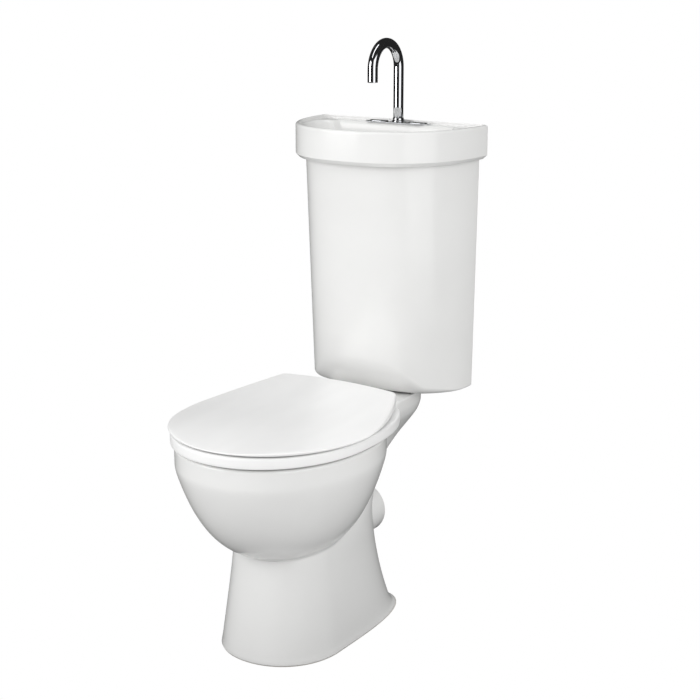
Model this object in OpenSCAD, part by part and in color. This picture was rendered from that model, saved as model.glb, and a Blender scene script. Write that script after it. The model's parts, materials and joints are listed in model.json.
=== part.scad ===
// Close-coupled toilet with a hand basin on the cistern.
// Clean water for the next flush runs through the spout into the basin and drains into the cistern.
// Origin: floor level, under the middle of the overall width and depth. X right, Y to the wall, Z up.
// Places on the Y axis are given as distances from the wall, which is at y = overall_depth / 2.

/* [Overall] */
// Wall to the nose of the seat
overall_depth = 666; // [620:1:800]
// Floor to the top of the pan rim
rim_h = 415; // [380:1:500]
// Step from the rim up to the deck that carries the cistern
deck_rise = 15; // [8:1:25]

/* [Pan] */
// Width of the bowl at the rim
bowl_w = 368; // [340:1:400]
// Wall to the widest line of the bowl
bowl_centre = 430; // [415:1:445]
// Wall to the back of the bowl
bowl_rear = 220; // [205:1:225]
// How far the rim stays inside the seat nose
rim_setback = 8; // [3:1:15]
// Height of the rounded bowl, from its underside up to where its sides are upright
bowl_depth = 194.5; // [180:0.5:210]
// Width of the deck
deck_w = 198; // [190:1:210]
// Wall to the back edge of the deck
deck_rear = 50; // [46:1:51]
// Wall to the step in front of the deck
deck_front = 190; // [184:1:196]
// Width of the foot
foot_w = 244; // [230:1:280]
// How far the foot stays behind the seat nose
foot_setback = 107; // [90:1:140]
// Wall to the back of the foot
foot_rear = 128; // [110:1:150]
// Wall thickness of the hollow foot
foot_wall = 14; // [10:1:18]
// Width of the opening in the rim
opening_w = 246; // [220:1:260]
// Width of the flat land of the rim at the nose
rim_land = 50; // [42:1:60]
// Floor to the centre of the outlet
outlet_h = 185; // [175:1:195]
// Outside diameter of the outlet spigot
outlet_od = 103; // [98:1:106]
// Bore of the outlet spigot
outlet_bore = 86; // [76:1:88]
// Wall to the end of the outlet spigot
outlet_end = 149; // [120:1:160]
// Bore of the trapway
trap_bore = 68; // [56:1:70]

/* [Seat and lid] */
// Width of the seat
seat_w = 378; // [350:1:400]
// Width of the lid
lid_w = 391; // [350:1:400]
// Wall to the widest line of the seat and lid
seat_centre = 445; // [430:1:460]
// Thickness of the seat ring
seat_t = 21; // [16:1:24]
// Height of the seat buffers
seat_gap = 5; // [3:1:8]
// Height of the lid buffers
lid_gap = 3; // [2:0.5:5]
// Wall to the back edge of the seat and lid
seat_rear = 243; // [240:1:250]
// Edge thickness that the lid gains from its middle to its back edge
lid_wedge = 17; // [8:1:20]
// Height of the crown of the lid
lid_crown = 13; // [6:1:16]
// Thickness of the lid shell
lid_wall = 4.5; // [3:0.5:6]
// Width of the seat opening
seat_opening_w = 222; // [200:1:240]
// Wall to the hinge pins
hinge_d = 226; // [224:1:232]
// Distance between the two hinge posts, centre to centre
hinge_span = 136; // [130:1:138]
// Diameter of the hinge pins
hinge_pin = 8; // [6:0.5:10]
// Running clearance around the hinge pins
pin_clearance = 0.05; // [0.02:0.01:0.1]

/* [Cistern] */
// Thickness of the pad between the deck and the cistern
pad_t = 3; // [2:0.5:6]
// Height of the cistern
cistern_h = 481; // [400:1:580]
// Width of the cistern at its top
cistern_top_w = 351; // [330:1:380]
// Width of the cistern at its foot
cistern_foot_w = 335; // [310:1:360]
// Depth of the cistern at its top
cistern_top_d = 210; // [200:1:225]
// Depth of the cistern at its foot
cistern_foot_d = 181; // [178:1:190]
// Wall thickness of the cistern
cistern_wall = 7; // [5:0.5:8]
// Thickness of the cistern floor
cistern_floor = 10; // [8:0.5:14]
// Wall to the centre of the flush outlet
flush_d = 88; // [86:0.5:88]
// Distance between the coupling bolts
coupling_span = 130; // [126:1:136]
// Distance between the wall screw holes
wall_hole_span = 240; // [180:1:270]
// Diameter of the wall screw holes
wall_hole = 8; // [6:0.5:10]
// Distance of the water inlet to the left of the middle
inlet_x = 121; // [120:0.5:122]
// Wall to the centre of the water inlet
inlet_d = 62; // [58:1:64]
// Outside diameter of the inlet thread
inlet_od = 21; // [18:0.5:22]

/* [Basin and spout] */
// Width of the basin
basin_w = 385; // [376:1:420]
// Depth of the basin
basin_d = 232; // [228:1:250]
// Height of the basin rim over the top of the cistern
basin_rise = 49; // [44:1:60]
// Height of the skirt that hangs over the cistern
skirt_h = 17; // [12:1:30]
// Gap between the skirt and the cistern
skirt_gap = 3; // [2:0.5:5]
// Width of the rim round the bowl of the basin
basin_rim = 13; // [10:1:18]
// Depth of the ledge behind the bowl of the basin
ledge_d = 46; // [42:1:60]
// Depth of the bowl of the basin
basin_bowl = 60; // [40:1:62]
// Wall thickness of the bowl of the basin
basin_wall = 9; // [6:0.5:11]
// Wall to the centre of the spout and buttons
spout_d = 23; // [20:1:26]
// Outside diameter of the spout tube
spout_od = 20; // [16:0.5:22]
// Wall thickness of the spout tube
spout_wall = 1.5; // [1:0.25:2]
// Reach of the spout, centre to centre
spout_reach = 98; // [80:1:130]
// Height of the spout over the button plate
spout_h = 167; // [130:1:220]
// Straight end of the spout
spout_drop = 24; // [10:1:40]

/* [Flush mechanism] */
// Length of the button plate
plate_l = 146; // [138:1:160]
// Width of the button plate
plate_w = 34; // [32:1:36]
// Thickness of the button plate
plate_t = 2.5; // [2:0.5:3]
// Distance of each button from the spout
button_x = 45; // [43:1:47]
// Length of a button
button_l = 40; // [34:1:42]
// Width of a button
button_w = 20; // [16:1:24]
// Clearance round a button
button_gap = 0.6; // [0.4:0.1:1]
// Travel of a button
button_travel = 8; // [6:0.5:9]
// Diameter of the push rods
rod_od = 8; // [6:0.5:9]
// Height of the rocker pin over the cistern floor
rocker_h = 262; // [220:1:290]
// Height of the overflow over the cistern floor
overflow_h = 332; // [310:1:345]
// Outside diameter of the overflow tube
stem_od = 28; // [24:0.5:30]

/* [Hidden] */

$fn = 48;
china = [0.95, 0.95, 0.94];
plastic_white = [0.97, 0.97, 0.96];
chrome = [0.78, 0.79, 0.81];
rubber = [0.13, 0.13, 0.14];
steel = [0.66, 0.67, 0.69];
valve_plastic = [0.82, 0.86, 0.9];
valve_blue = [0.25, 0.42, 0.68];
hose_grey = [0.6, 0.62, 0.64];

seat_clearance = 0.3; // clearance of pieces that stand on curved or moving neighbours
over = 1; // how far a cut runs past the face that it opens

// Levels
deck_h = rim_h + deck_rise;
cistern_z = deck_h + pad_t;
floor_z = cistern_z + cistern_floor;
cistern_top = cistern_z + cistern_h;
basin_top = cistern_top + basin_rise;
seat_z = rim_h + seat_gap;
lid_z = seat_z + seat_t + lid_gap;
ledge_z = basin_top - 5.5;
plate_top = ledge_z + plate_t;

// y of a place given as its distance from the wall
function at(d) = overall_depth / 2 - d;

// Larger or smaller of two values, with their crossing rounded over a width k
function soft_max(a, b, k) =
  let (h = max(k - abs(a - b), 0) / k)
  max(a, b) + h * h * k / 4;
function soft_min(a, b, k) = -soft_max(-a, -b, k);

function smooth(t) = let (s = min(max(t, 0), 1)) s * s * (3 - 2 * s);

// Radius of a superellipse in direction a, from the middle of its widest line.
// It has its own length and exponent in front of that line and behind it.
function egg(a, half_w, front, rear, n_front, n_rear) =
  let (n = sin(a) < 0 ? n_front : n_rear, l = sin(a) < 0 ? front : rear)
  pow(pow(abs(cos(a)) / half_w, n) + pow(abs(sin(a)) / l, n), -1 / n);

// Directions counter-clockwise from +X, with a ray in each rear corner
function rays(corner, side = 13, back = 5, front = 18) = [
  each [for (i = [0:side - 1]) corner * i / side],
  each [for (i = [0:back - 1]) corner + (90 - corner) * i / back],
  each [for (i = [0:back - 1]) 90 + (90 - corner) * i / back],
  each [for (i = [0:side - 1]) 180 - corner + corner * i / side],
  each [for (i = [0:2 * front - 1]) 180 + 90 * i / front]
];

// D-shaped outline with a flat back, counter-clockwise from its right-hand rear corner.
// front and rear are distances from the wall; n and m bend the sides and the front.
function dee(half_w, front, rear, corner, n = 2.5, m = 2.25, steps = 40) = [
  each [for (a = [0, 30, 60, 90]) [half_w - corner * (1 - cos(a)), at(rear) - corner * (1 - sin(a))]],
  each [for (a = [90, 60, 30, 0]) [-half_w + corner * (1 - cos(a)), at(rear) - corner * (1 - sin(a))]],
  each [for (i = [1:steps - 1])
    let (t = 180 + 180 * i / steps)
    [
      half_w * sign(cos(t)) * pow(abs(cos(t)), 2 / n),
      at(rear) - corner - (front - rear - corner) * pow(abs(sin(t)), 2 / m)
    ]]
];

// Lays a flat outline at a height
function lay(outline, z) = [for (p = outline) [p[0], p[1], z]];

// Closed skin over a stack of rings with equal counts, ending in a point at each end.
// The first ring hangs from start, and the last closes on end; rings that climb face outwards.
module skin(rings, start, end) {
  n = len(rings[0]);
  m = len(rings);
  points = [each [for (r = rings) each r], start, end];
  polyhedron(
    points = points,
    faces = [
      each [for (j = [0:n - 1]) [n * m, j, (j + 1) % n]],
      each [for (i = [0:m - 2]) each [for (j = [0:n - 1])
        let (a = i * n + j, b = a + n, c = (i + 1) * n + (j + 1) % n, d = c - n)
        each [[a, b, c], [a, c, d]]]],
      each [for (j = [0:n - 1]) [(m - 1) * n + j, n * m + 1, (m - 1) * n + (j + 1) % n]]
    ]
  );
}

// Closed ring-shaped skin: the last section joins the first
module ring_skin(rings) {
  n = len(rings[0]);
  m = len(rings);
  polyhedron(
    points = [each [for (r = rings) each r]],
    faces = [each [for (i = [0:m - 1]) each [for (j = [0:n - 1])
      let (k = (i + 1) % m, a = i * n + j, b = k * n + j, c = k * n + (j + 1) % n, d = i * n + (j + 1) % n)
      each [[a, b, c], [a, c, d]]]]]
  );
}

// Ring round the middle (0, centre) at radii that follow the rays, each at its own height
function ray_ring(angles, centre, radii, heights) = [
  for (i = [0:len(angles) - 1])
    [radii[i] * cos(angles[i]), at(centre) + radii[i] * sin(angles[i]), heights[i]]
];

// Round tube along a list of points
function unit(v) = v / norm(v);
function tube_rings(path, r, sides) = [
  for (i = [0:len(path) - 1])
    let (
      t = unit(path[min(i + 1, len(path) - 1)] - path[max(i - 1, 0)]),
      u = unit(cross(t, [0.3, 0.9, 0.2])),
      v = cross(t, u)
    )
    [for (k = [0:sides - 1]) path[i] + r * (cos(360 * k / sides) * u + sin(360 * k / sides) * v)]
];

// Points of a cubic curve from a to d, drawn towards b and c
function curve(a, b, c, d, steps) = [
  for (i = [0:steps])
    let (t = i / steps, s = 1 - t)
    s * s * s * a + 3 * s * s * t * b + 3 * s * t * t * c + t * t * t * d
];

// ---------------------------------------------------------------- pan

crease_z = 186; // height of the underside of the bowl, where it meets the pedestal
rim_edge = 8; // rounding of the rim
rim_throat = 38; // height of the hollow rim
bowl_front = overall_depth - rim_setback - bowl_centre;
bowl_back = bowl_centre - bowl_rear;
upright_z = rim_h - 32.5;

// Pedestal, trap housing, spine and deck, each row at a height:
// [height, half width, wall to front, wall to back, exponent of the rear outline]
foot_front = overall_depth - foot_setback;
body = [
  [0, foot_w / 2, foot_front, foot_rear, 3.4],
  [4, foot_w / 2 - 0.8, foot_front - 0.3, foot_rear + 9, 3.4],
  [8, foot_w / 2 - 1.5, foot_front - 0.6, foot_rear + 17, 3.3],
  [15, foot_w / 2 - 3, foot_front - 2, foot_rear + 23, 3.3],
  [22, foot_w / 2 - 4, foot_front - 3, foot_rear + 26, 3.2],
  [30, foot_w / 2 - 5, foot_front - 4.5, foot_rear + 27.5, 3.1],
  [55, foot_w / 2 - 8, foot_front - 9, foot_rear + 34, 2.9],
  [100, foot_w / 2 - 14, foot_front - 16, foot_rear + 44, 2.7],
  [crease_z - 26, foot_w / 2 - 21, foot_front - 26, foot_rear + 54, 2.6],
  [crease_z, foot_w / 2 - 22, foot_front - 30, foot_rear + 55, 2.6],
  [222, foot_w / 2 - 26, foot_front - 38, foot_rear + 60, 2.6],
  [deck_h - 168, foot_w / 2 - 48, foot_front - 60, deck_rear + 128, 4],
  [deck_h - 135, deck_w / 2 - 46, foot_front - 100, deck_rear + 90, 6],
  [deck_h - 110, deck_w / 2 - 41, foot_front - 120, deck_rear + 60, 6],
  [deck_h - 87, deck_w / 2 - 35, foot_front - 120, deck_rear + 33, 7],
  [deck_h - 70, deck_w / 2 - 26, foot_front - 120, deck_rear + 18, 8],
  [deck_h - 50, deck_w / 2 - 12, foot_front - 120, deck_rear + 7, 8],
  [deck_h - 40, deck_w / 2 - 6, foot_front - 120, deck_rear + 4, 8],
  [deck_h - 30, deck_w / 2 - 2.5, foot_front - 120, deck_rear + 2, 8],
  [deck_h - 20, deck_w / 2, foot_front - 120, deck_rear, 8]
];
function body_at(z, column) = lookup(z, [for (row = body) [row[0], row[column]]]);

// Inside of the bowl, each row at a height: [height, half width, wall to front, wall to back]
inner = [
  [rim_h - rim_edge, opening_w / 2, overall_depth - rim_setback - rim_land, 300],
  [rim_h - rim_throat, opening_w / 2, overall_depth - rim_setback - rim_land, 300],
  [rim_h - rim_throat - 6, bowl_w / 2 - 34, overall_depth - rim_setback - 24, 288],
  [rim_h - 75, bowl_w / 2 - 33, overall_depth - rim_setback - 26, 290],
  [rim_h - 115, bowl_w / 2 - 38, overall_depth - rim_setback - 34, 300],
  [rim_h - 155, bowl_w / 2 - 56, overall_depth - rim_setback - 60, 314],
  [rim_h - 185, bowl_w / 2 - 80, overall_depth - rim_setback - 92, 324],
  [rim_h - 205, bowl_w / 2 - 102, overall_depth - rim_setback - 124, 331],
  [rim_h - 222, bowl_w / 2 - 126, overall_depth - rim_setback - 160, 337],
  [rim_h - 232, bowl_w / 2 - 144, overall_depth - rim_setback - 200, 344]
];

// Directions of the outline at a height: one of them points at the rear corner of the pedestal or deck
function pan_rays(z) = rays(atan2(bowl_centre - body_at(z, 3), body_at(z, 1)));
deck_rays = pan_rays(rim_h);

function bowl_scale(z) =
  let (u = max(upright_z - z, 0) / bowl_depth)
  pow(max(1 - pow(u, 1.2), 0.001), 1 / 3.2);

// Outline of the pan: whichever reaches further, the bowl or the pedestal and deck
function pan_radius(a, z) =
  let (k = bowl_scale(z))
  soft_max(
    egg(a, k * bowl_w / 2, k * bowl_front, k * bowl_back, 2.12, 2),
    egg(a, body_at(z, 1), body_at(z, 2) - bowl_centre, bowl_centre - body_at(z, 3), 2.1, body_at(z, 4)),
    8
  );
function pan_ring(z, inset = 0) =
  let (angles = pan_rays(z))
  ray_ring(angles, bowl_centre, [for (a = angles) pan_radius(a, z) - inset], [for (a = angles) z]);

// The rim steps up to the deck at its back
rim_out = [for (a = deck_rays) pan_radius(a, rim_h)];
rim_top = [
  for (i = [0:len(deck_rays) - 1])
    rim_h + deck_rise * smooth((rim_out[i] * sin(deck_rays[i]) - (bowl_centre - deck_front) + 8) / 20)
];
function rim_ring(inset, drop) =
  ray_ring(deck_rays, bowl_centre, [for (r = rim_out) r - inset], [for (z = rim_top) z - drop]);
// Ring on the top face that follows the line d from the wall wherever the deck lies behind it
function step_ring(inset, d, heights) =
  ray_ring(deck_rays, bowl_centre,
    [for (i = [0:len(deck_rays) - 1])
      min(rim_out[i] - inset, sin(deck_rays[i]) > 0.1 ? (bowl_centre - d) / sin(deck_rays[i]) : 1000)],
    heights);

function inner_ring(row, z, grow = 0) =
  let (w = row[1] + grow, c = (row[2] + row[3]) / 2, l = (row[2] - row[3]) / 2 + grow)
  [for (a = deck_rays) let (r = egg(a, w, l, l, 2.2, 2.2)) [r * cos(a), at(c) + r * sin(a), z]];

hollow_top = 150; // ceiling of the hollow foot
function hollow_ring(z) = pan_ring(z, foot_wall);

foot_levels = [0, 3, 9, 16, 23, 31, 55, each [for (i = [1:5]) 55 + (crease_z - 55) * i / 5]];
bowl_steps = 16;
bowl_levels = [for (i = [1:bowl_steps]) crease_z + (rim_h - rim_edge - crease_z) * pow(i / bowl_steps, 1.4)];

// Centre line of the trapway in the plane x = 0: [wall distance, height]
trap = [[388, rim_h - 212], [345, 112], [262, 228], [205, outlet_h]];
trap_wall = 9;
elbow_gain = 1.2; // how much wider than the pipe its elbows are
spigot_free = 24; // length of the spigot behind its thicker root

module trap_piece(a, b, r) {
  pa = [0, at(a[0]), a[1]];
  d = [0, at(b[0]) - at(a[0]), b[1] - a[1]];
  translate(pa) rotate([-atan2(d[1], d[2]), 0, 0]) cylinder(h = norm(d), r = r);
}

module trapway(r) {
  for (i = [0:len(trap) - 2]) trap_piece(trap[i], trap[i + 1], r);
  for (i = [1:len(trap) - 2]) translate([0, at(trap[i][0]), trap[i][1]]) sphere(r = r + elbow_gain);
}

seal_r = 30; // recess in the deck for the outlet seal
flush_bore = 50;
flush_recess = 21.5; // depth of the recess
seat_bolt_d = 212; // wall to the seat bolts
bolt_hole = 11;
coupling_hole = 11;

// Space under the deck on each side of the flushway, where the nuts are turned, with a way in at the back
deck_t = 20; // thickness of the deck over that space
rim_t = 12; // thickness of the rim over it
deck_side = 14; // thickness of its side walls
deck_back = 24; // thickness of its rear wall
spine_w = 68; // width of the flushway between the two spaces
hollow_rows = [deck_h - 92, deck_h - 87, deck_h - 70, deck_h - 50, deck_h - 40, deck_h - 30];
module deck_hollow(s, front, ceiling) translate([0, at(deck_rear + deck_back), 0]) rotate([90, 0, 0])
  linear_extrude(front - deck_rear - deck_back) polygon([
    [s * spine_w / 2, hollow_rows[0]],
    for (z = hollow_rows) [s * (body_at(z, 1) - deck_side), z],
    [s * (body_at(ceiling, 1) - deck_side), ceiling],
    [s * spine_w / 2, ceiling]
  ]);
module deck_window(s) translate([s * 55 - 16, at(deck_rear + deck_back + over), deck_h - 80])
  cube([32, deck_back + 2 * over, 58]);

module pan() color(china) difference() {
  union() {
    skin(
      [
        hollow_ring(hollow_top), hollow_ring(80), hollow_ring(20), hollow_ring(0),
        for (z = foot_levels) pan_ring(z, z == 0 ? 2 : 0),
        for (z = bowl_levels) pan_ring(z),
        rim_ring(0, rim_edge),
        rim_ring(rim_edge * 0.3, rim_edge * 0.3),
        rim_ring(rim_edge, 0),
        step_ring(rim_edge + 1, deck_front, rim_top),
        step_ring(rim_edge + 2, deck_front + 8, [for (a = deck_rays) rim_h]),
        inner_ring(inner[0], rim_h, rim_edge),
        inner_ring(inner[0], rim_h - rim_edge * 0.3, rim_edge * 0.3),
        for (row = inner) inner_ring(row, row[0])
      ],
      [0, at(bowl_centre - 40), hollow_top],
      [0, at(386), rim_h - 236]
    );
    translate([0, at(outlet_end), outlet_h]) rotate([90, 0, 0])
      cylinder(h = spigot_free, d = outlet_od);
    translate([0, at(outlet_end + spigot_free), outlet_h]) rotate([90, 0, 0])
      cylinder(h = trap[3][0] - outlet_end - spigot_free + 30, d = outlet_od + 2);
    trapway(trap_bore / 2 + trap_wall);
  }
  trapway(trap_bore / 2);
  translate([0, at(outlet_end) + over, outlet_h]) rotate([90, 0, 0])
    cylinder(h = trap[3][0] - outlet_end + 10, d = outlet_bore);
  translate([0, at(flush_d), deck_h - flush_recess]) cylinder(h = flush_recess + over, r = seal_r);
  translate([0, at(flush_d), deck_h - 40]) cylinder(h = 40, d = flush_bore);
  trap_piece([flush_d, deck_h - 40], [302, rim_h - 62], 20);
  translate([0, at(flush_d), deck_h - 40]) sphere(d = flush_bore);
  for (s = [-1, 1]) {
    deck_hollow(s, deck_front - 4, deck_h - deck_t);
    deck_hollow(s, seat_bolt_d + 16, rim_h - rim_t);
    deck_window(s);
    translate([s * hinge_span / 2, at(seat_bolt_d), rim_h - rim_t - over])
      cylinder(h = rim_t + deck_rise + over, d = bolt_hole);
    translate([s * coupling_span / 2, at(flush_d), deck_h - deck_t - over])
      cylinder(h = deck_t + 2 * over, d = coupling_hole);
  }
}

// ---------------------------------------------------------------- seat and lid

lid_setback = 1; // how far the nose of the lid stays behind the nose of the seat
seat_front = overall_depth - seat_centre;
seat_back = seat_centre - seat_rear;
seat_sweep = 259; // length of the egg behind its widest line, of which the back edge cuts off the end
lid_sweep = 340;
seat_bend = 2.48; // exponents of the two eggs behind the widest line
lid_bend = 1.53;

// Egg cut off by the back edge, with its corners rounded
function cut_egg(a, half_w, front, sweep, bend) =
  let (r = egg(a, half_w, front, sweep, 2.06, bend))
  sin(a) > 0.1 ? soft_min(r, seat_back / sin(a), 8) : r;
function seat_radius(a, inset = 0) = cut_egg(a, seat_w / 2, seat_front, seat_sweep, seat_bend) - inset;
function lid_radius(a, inset = 0) = cut_egg(a, lid_w / 2, seat_front - lid_setback, lid_sweep, lid_bend) - inset;
function corner_angle(half_w, sweep, bend) =
  atan2(seat_back, half_w * pow(1 - pow(seat_back / sweep, bend), 1 / bend));
seat_rays = rays(corner_angle(seat_w / 2, seat_sweep, seat_bend), 11, 5, 16);
lid_rays = rays(corner_angle(lid_w / 2, lid_sweep, lid_bend), 11, 5, 16);

function seat_opening(a) =
  egg(a, seat_opening_w / 2, overall_depth - 62 - seat_centre, seat_centre - 318, 2.1, 2.2);

function seat_ring(z, inset) =
  ray_ring(seat_rays, seat_centre, [for (a = seat_rays) seat_radius(a, inset)], [for (a = seat_rays) z]);
function opening_ring(z, inset) =
  ray_ring(seat_rays, seat_centre, [for (a = seat_rays) seat_opening(a) + inset], [for (a = seat_rays) z]);

hinge_z = rim_h + 22;
knuckle_r = 9.5;
post_w = 18;
knuckle_w = 16;
knuckle_gap = 0.5;
seat_knuckle_x = hinge_span / 2 - post_w / 2 - knuckle_gap - knuckle_w / 2;
lid_knuckle_x = hinge_span / 2 + post_w / 2 + knuckle_gap + knuckle_w / 2;

// Barrel on the hinge pin with a web that runs forward into the seat or lid between two heights
module knuckle(x, reach, low, high) {
  translate([x - knuckle_w / 2, at(hinge_d), hinge_z]) rotate([0, 90, 0]) cylinder(h = knuckle_w, r = knuckle_r);
  translate([x - knuckle_w / 2, at(hinge_d + reach), low]) cube([knuckle_w, reach, high - low]);
}

module knuckle_bore(x) translate([x - knuckle_w / 2 - over, at(hinge_d), hinge_z])
  rotate([0, 90, 0]) cylinder(h = knuckle_w + 2 * over, d = hinge_pin + 2 * pin_clearance);

module seat() color(plastic_white) difference() {
  union() {
    ring_skin([
      seat_ring(seat_z, 5), seat_ring(seat_z + 1.5, 1.5), seat_ring(seat_z + 6, 0),
      seat_ring(seat_z + seat_t - 5, 1), seat_ring(seat_z + seat_t - 1.4, 3.6), seat_ring(seat_z + seat_t, 9),
      seat_ring(seat_z + seat_t, 26),
      opening_ring(seat_z + seat_t, 22), opening_ring(seat_z + seat_t - 3, 9), opening_ring(seat_z + seat_t - 8, 2.5),
      opening_ring(seat_z + 5, 0), opening_ring(seat_z, 3)
    ]);
    for (s = [-1, 1]) knuckle(s * seat_knuckle_x, seat_rear - hinge_d + 12, seat_z + 4, seat_z + seat_t - 1);
  }
  for (s = [-1, 1]) knuckle_bore(s * seat_knuckle_x);
}

// Height of the top of the lid over its lower edge at a place seen from the widest line
function lid_top(x, y) =
  let (
    back = min(max((y + 60) / (seat_back + 60), 0), 1),
    nose = y < 0 ? 1 - pow(min(-y / seat_front, 1), 3) : 1
  )
  3 + lid_wedge * back * back + lid_crown * (1 - pow(min(abs(x) * 2 / lid_w, 1), 2)) * nose;

// Ring under the lid's outline less an inset, between the lower edge (share 0) and the top (share 1),
// lowered by drop; scale draws it in towards the middle
function lid_ring(inset, share = 1, drop = 0, scale = 1) = [
  for (a = lid_rays)
    let (r = scale * lid_radius(a, inset), x = r * cos(a), y = r * sin(a))
    [x, at(seat_centre) + y, lid_z + max(share * lid_top(x, y) - drop, drop > 0 ? 1.2 : 0)]
];

module lid() color(plastic_white) difference() {
  union() {
    skin(
      [
        for (scale = [0.4, 0.75, 1]) lid_ring(9, 1, lid_wall, scale),
        lid_ring(7.5, 0), lid_ring(1, 0), lid_ring(0, 0.25), lid_ring(0, 0.7), lid_ring(1.4, 0.92),
        for (scale = [1, 0.86, 0.64, 0.42, 0.2]) lid_ring(4, 1, 0, scale)
      ],
      [0, at(seat_centre), lid_z + lid_top(0, 0) - lid_wall],
      [0, at(seat_centre), lid_z + lid_top(0, 0)]
    );
    for (s = [-1, 1]) knuckle(s * lid_knuckle_x, seat_rear - hinge_d + 5, hinge_z + 6, lid_z + 12);
  }
  for (s = [-1, 1]) knuckle_bore(s * lid_knuckle_x);
}

module seat_buffers() color(plastic_white)
  for (s = [-1, 1]) {
    for (place = [[140, 340], [132, 545]])
      translate([s * place[0], at(place[1]), seat_z - seat_gap]) cylinder(h = seat_gap, d = 18);
  }

module lid_buffers() color(plastic_white)
  for (s = [-1, 1]) translate([s * 145, at(350), lid_z - lid_gap])
    cylinder(h = lid_gap + lid_top(145 + 7, seat_centre - 350 - 7) - lid_wall - seat_clearance, d = 14);

post_foot = 26; // diameter of the foot of a hinge post
module hinge_posts() color(plastic_white)
  for (s = [-1, 1]) difference() {
    union() {
      translate([s * hinge_span / 2, at(hinge_d), hinge_z]) rotate([0, 90, 0])
        cylinder(h = post_w, r = knuckle_r, center = true);
      translate([s * hinge_span / 2 - post_w / 2, at(hinge_d) - knuckle_r, rim_h]) cube([post_w, 2 * knuckle_r, 22]);
      translate([s * hinge_span / 2, at(seat_bolt_d), rim_h]) cylinder(h = 6, d = post_foot);
      translate([s * hinge_span / 2 - post_w / 2, at(hinge_d), rim_h]) cube([post_w, hinge_d - seat_bolt_d, 12]);
    }
    translate([s * hinge_span / 2, at(hinge_d), hinge_z]) rotate([0, 90, 0])
      cylinder(h = post_w + 2 * over, d = hinge_pin, center = true);
    translate([s * hinge_span / 2, at(seat_bolt_d), rim_h - over]) cylinder(h = 20, d = 8);
    translate([s * hinge_span / 2, at(seat_bolt_d), rim_h + 6]) cylinder(h = 20, d = 15);
  }

module hinge_pins() color(steel)
  for (s = [-1, 1])
    translate([s * (seat_knuckle_x - knuckle_w / 2 - 1), at(hinge_d), hinge_z])
      rotate([0, s * 90, 0])
        cylinder(h = lid_knuckle_x - seat_knuckle_x + knuckle_w + 2, d = hinge_pin);

nut_d = 20; // diameter of the round nuts under the deck
nut_t = 10;
nut_washer_t = 3;
bolt_tail = 8; // length of bolt below its nut
seat_nut_z = rim_h - rim_t - nut_washer_t - nut_t;
module seat_bolts() color(steel)
  for (s = [-1, 1]) translate([s * hinge_span / 2, at(seat_bolt_d), 0]) {
    translate([0, 0, seat_nut_z - bolt_tail]) cylinder(h = rim_h + 6 - seat_nut_z + bolt_tail, d = 8);
    translate([0, 0, rim_h + 6]) cylinder(h = 5, d = 14);
  }

module bolt_washer(d = nut_d) difference() {
  cylinder(h = nut_washer_t, d = d);
  translate([0, 0, -over]) cylinder(h = nut_washer_t + 2 * over, d = 8.1);
}

module seat_bolt_washers() color(rubber)
  for (s = [-1, 1]) translate([s * hinge_span / 2, at(seat_bolt_d), seat_nut_z + nut_t]) bolt_washer();

// Round nut with grips for the fingers
module hand_nut() difference() {
  cylinder(h = nut_t, d = nut_d);
  translate([0, 0, -over]) cylinder(h = nut_t + 2 * over, d = 8.1);
  for (a = [0:60:300]) rotate(a + 30) translate([nut_d / 2 + 1.2, 0, -over]) cylinder(h = nut_t - 2 + over, d = 5);
}

module seat_bolt_nuts() color(plastic_white)
  for (s = [-1, 1]) translate([s * hinge_span / 2, at(seat_bolt_d), seat_nut_z]) hand_nut();

// ---------------------------------------------------------------- cistern

corner_r = 8;
function cistern_w(z) = lookup(z, [[cistern_z, cistern_foot_w / 2], [cistern_top, cistern_top_w / 2]]);
function cistern_d(z) = lookup(z, [[cistern_z, cistern_foot_d], [cistern_top, cistern_top_d]]);
function cistern_ring(z, inset) = lay(dee(cistern_w(z) - inset, cistern_d(z) - inset, inset, corner_r), z);

// The foot of the cistern sweeps back under its front: how far in and how far up at a distance from the wall
function sweep_in(d) = 3 + 0.44 * soft_max(d - 55, 0, 20);
function sweep_up(d) = 4 + 0.5 * (sweep_in(d) - 3) + 45 * smooth((d - 130) / 50);
// Ring of that sweep, from the flat underside (a = 0) to the upright sides (a = 90)
function foot_ring(a, wall = 0, lift = 0) =
  let (outline = dee(cistern_foot_w / 2 - wall, cistern_foot_d - wall, wall, corner_r), n = len(outline))
  [for (i = [0:n - 1])
    let (
      d = overall_depth / 2 - outline[i][1],
      along = unit(outline[(i + 1) % n] - outline[(i + n - 1) % n]),
      in = sweep_in(d) * (1 - sin(a)),
      z = cistern_z + lift + sweep_up(d) * (1 - cos(a)),
      x = outline[i][0] - along[1] * in,
      depth = d - along[0] * in
    )
    [x * cistern_w(z) * 2 / cistern_foot_w, at(depth * cistern_d(z) / cistern_foot_d), z]];

tail_r = 23; // outlet tail of the valve
hole_clearance = 1;

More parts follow.
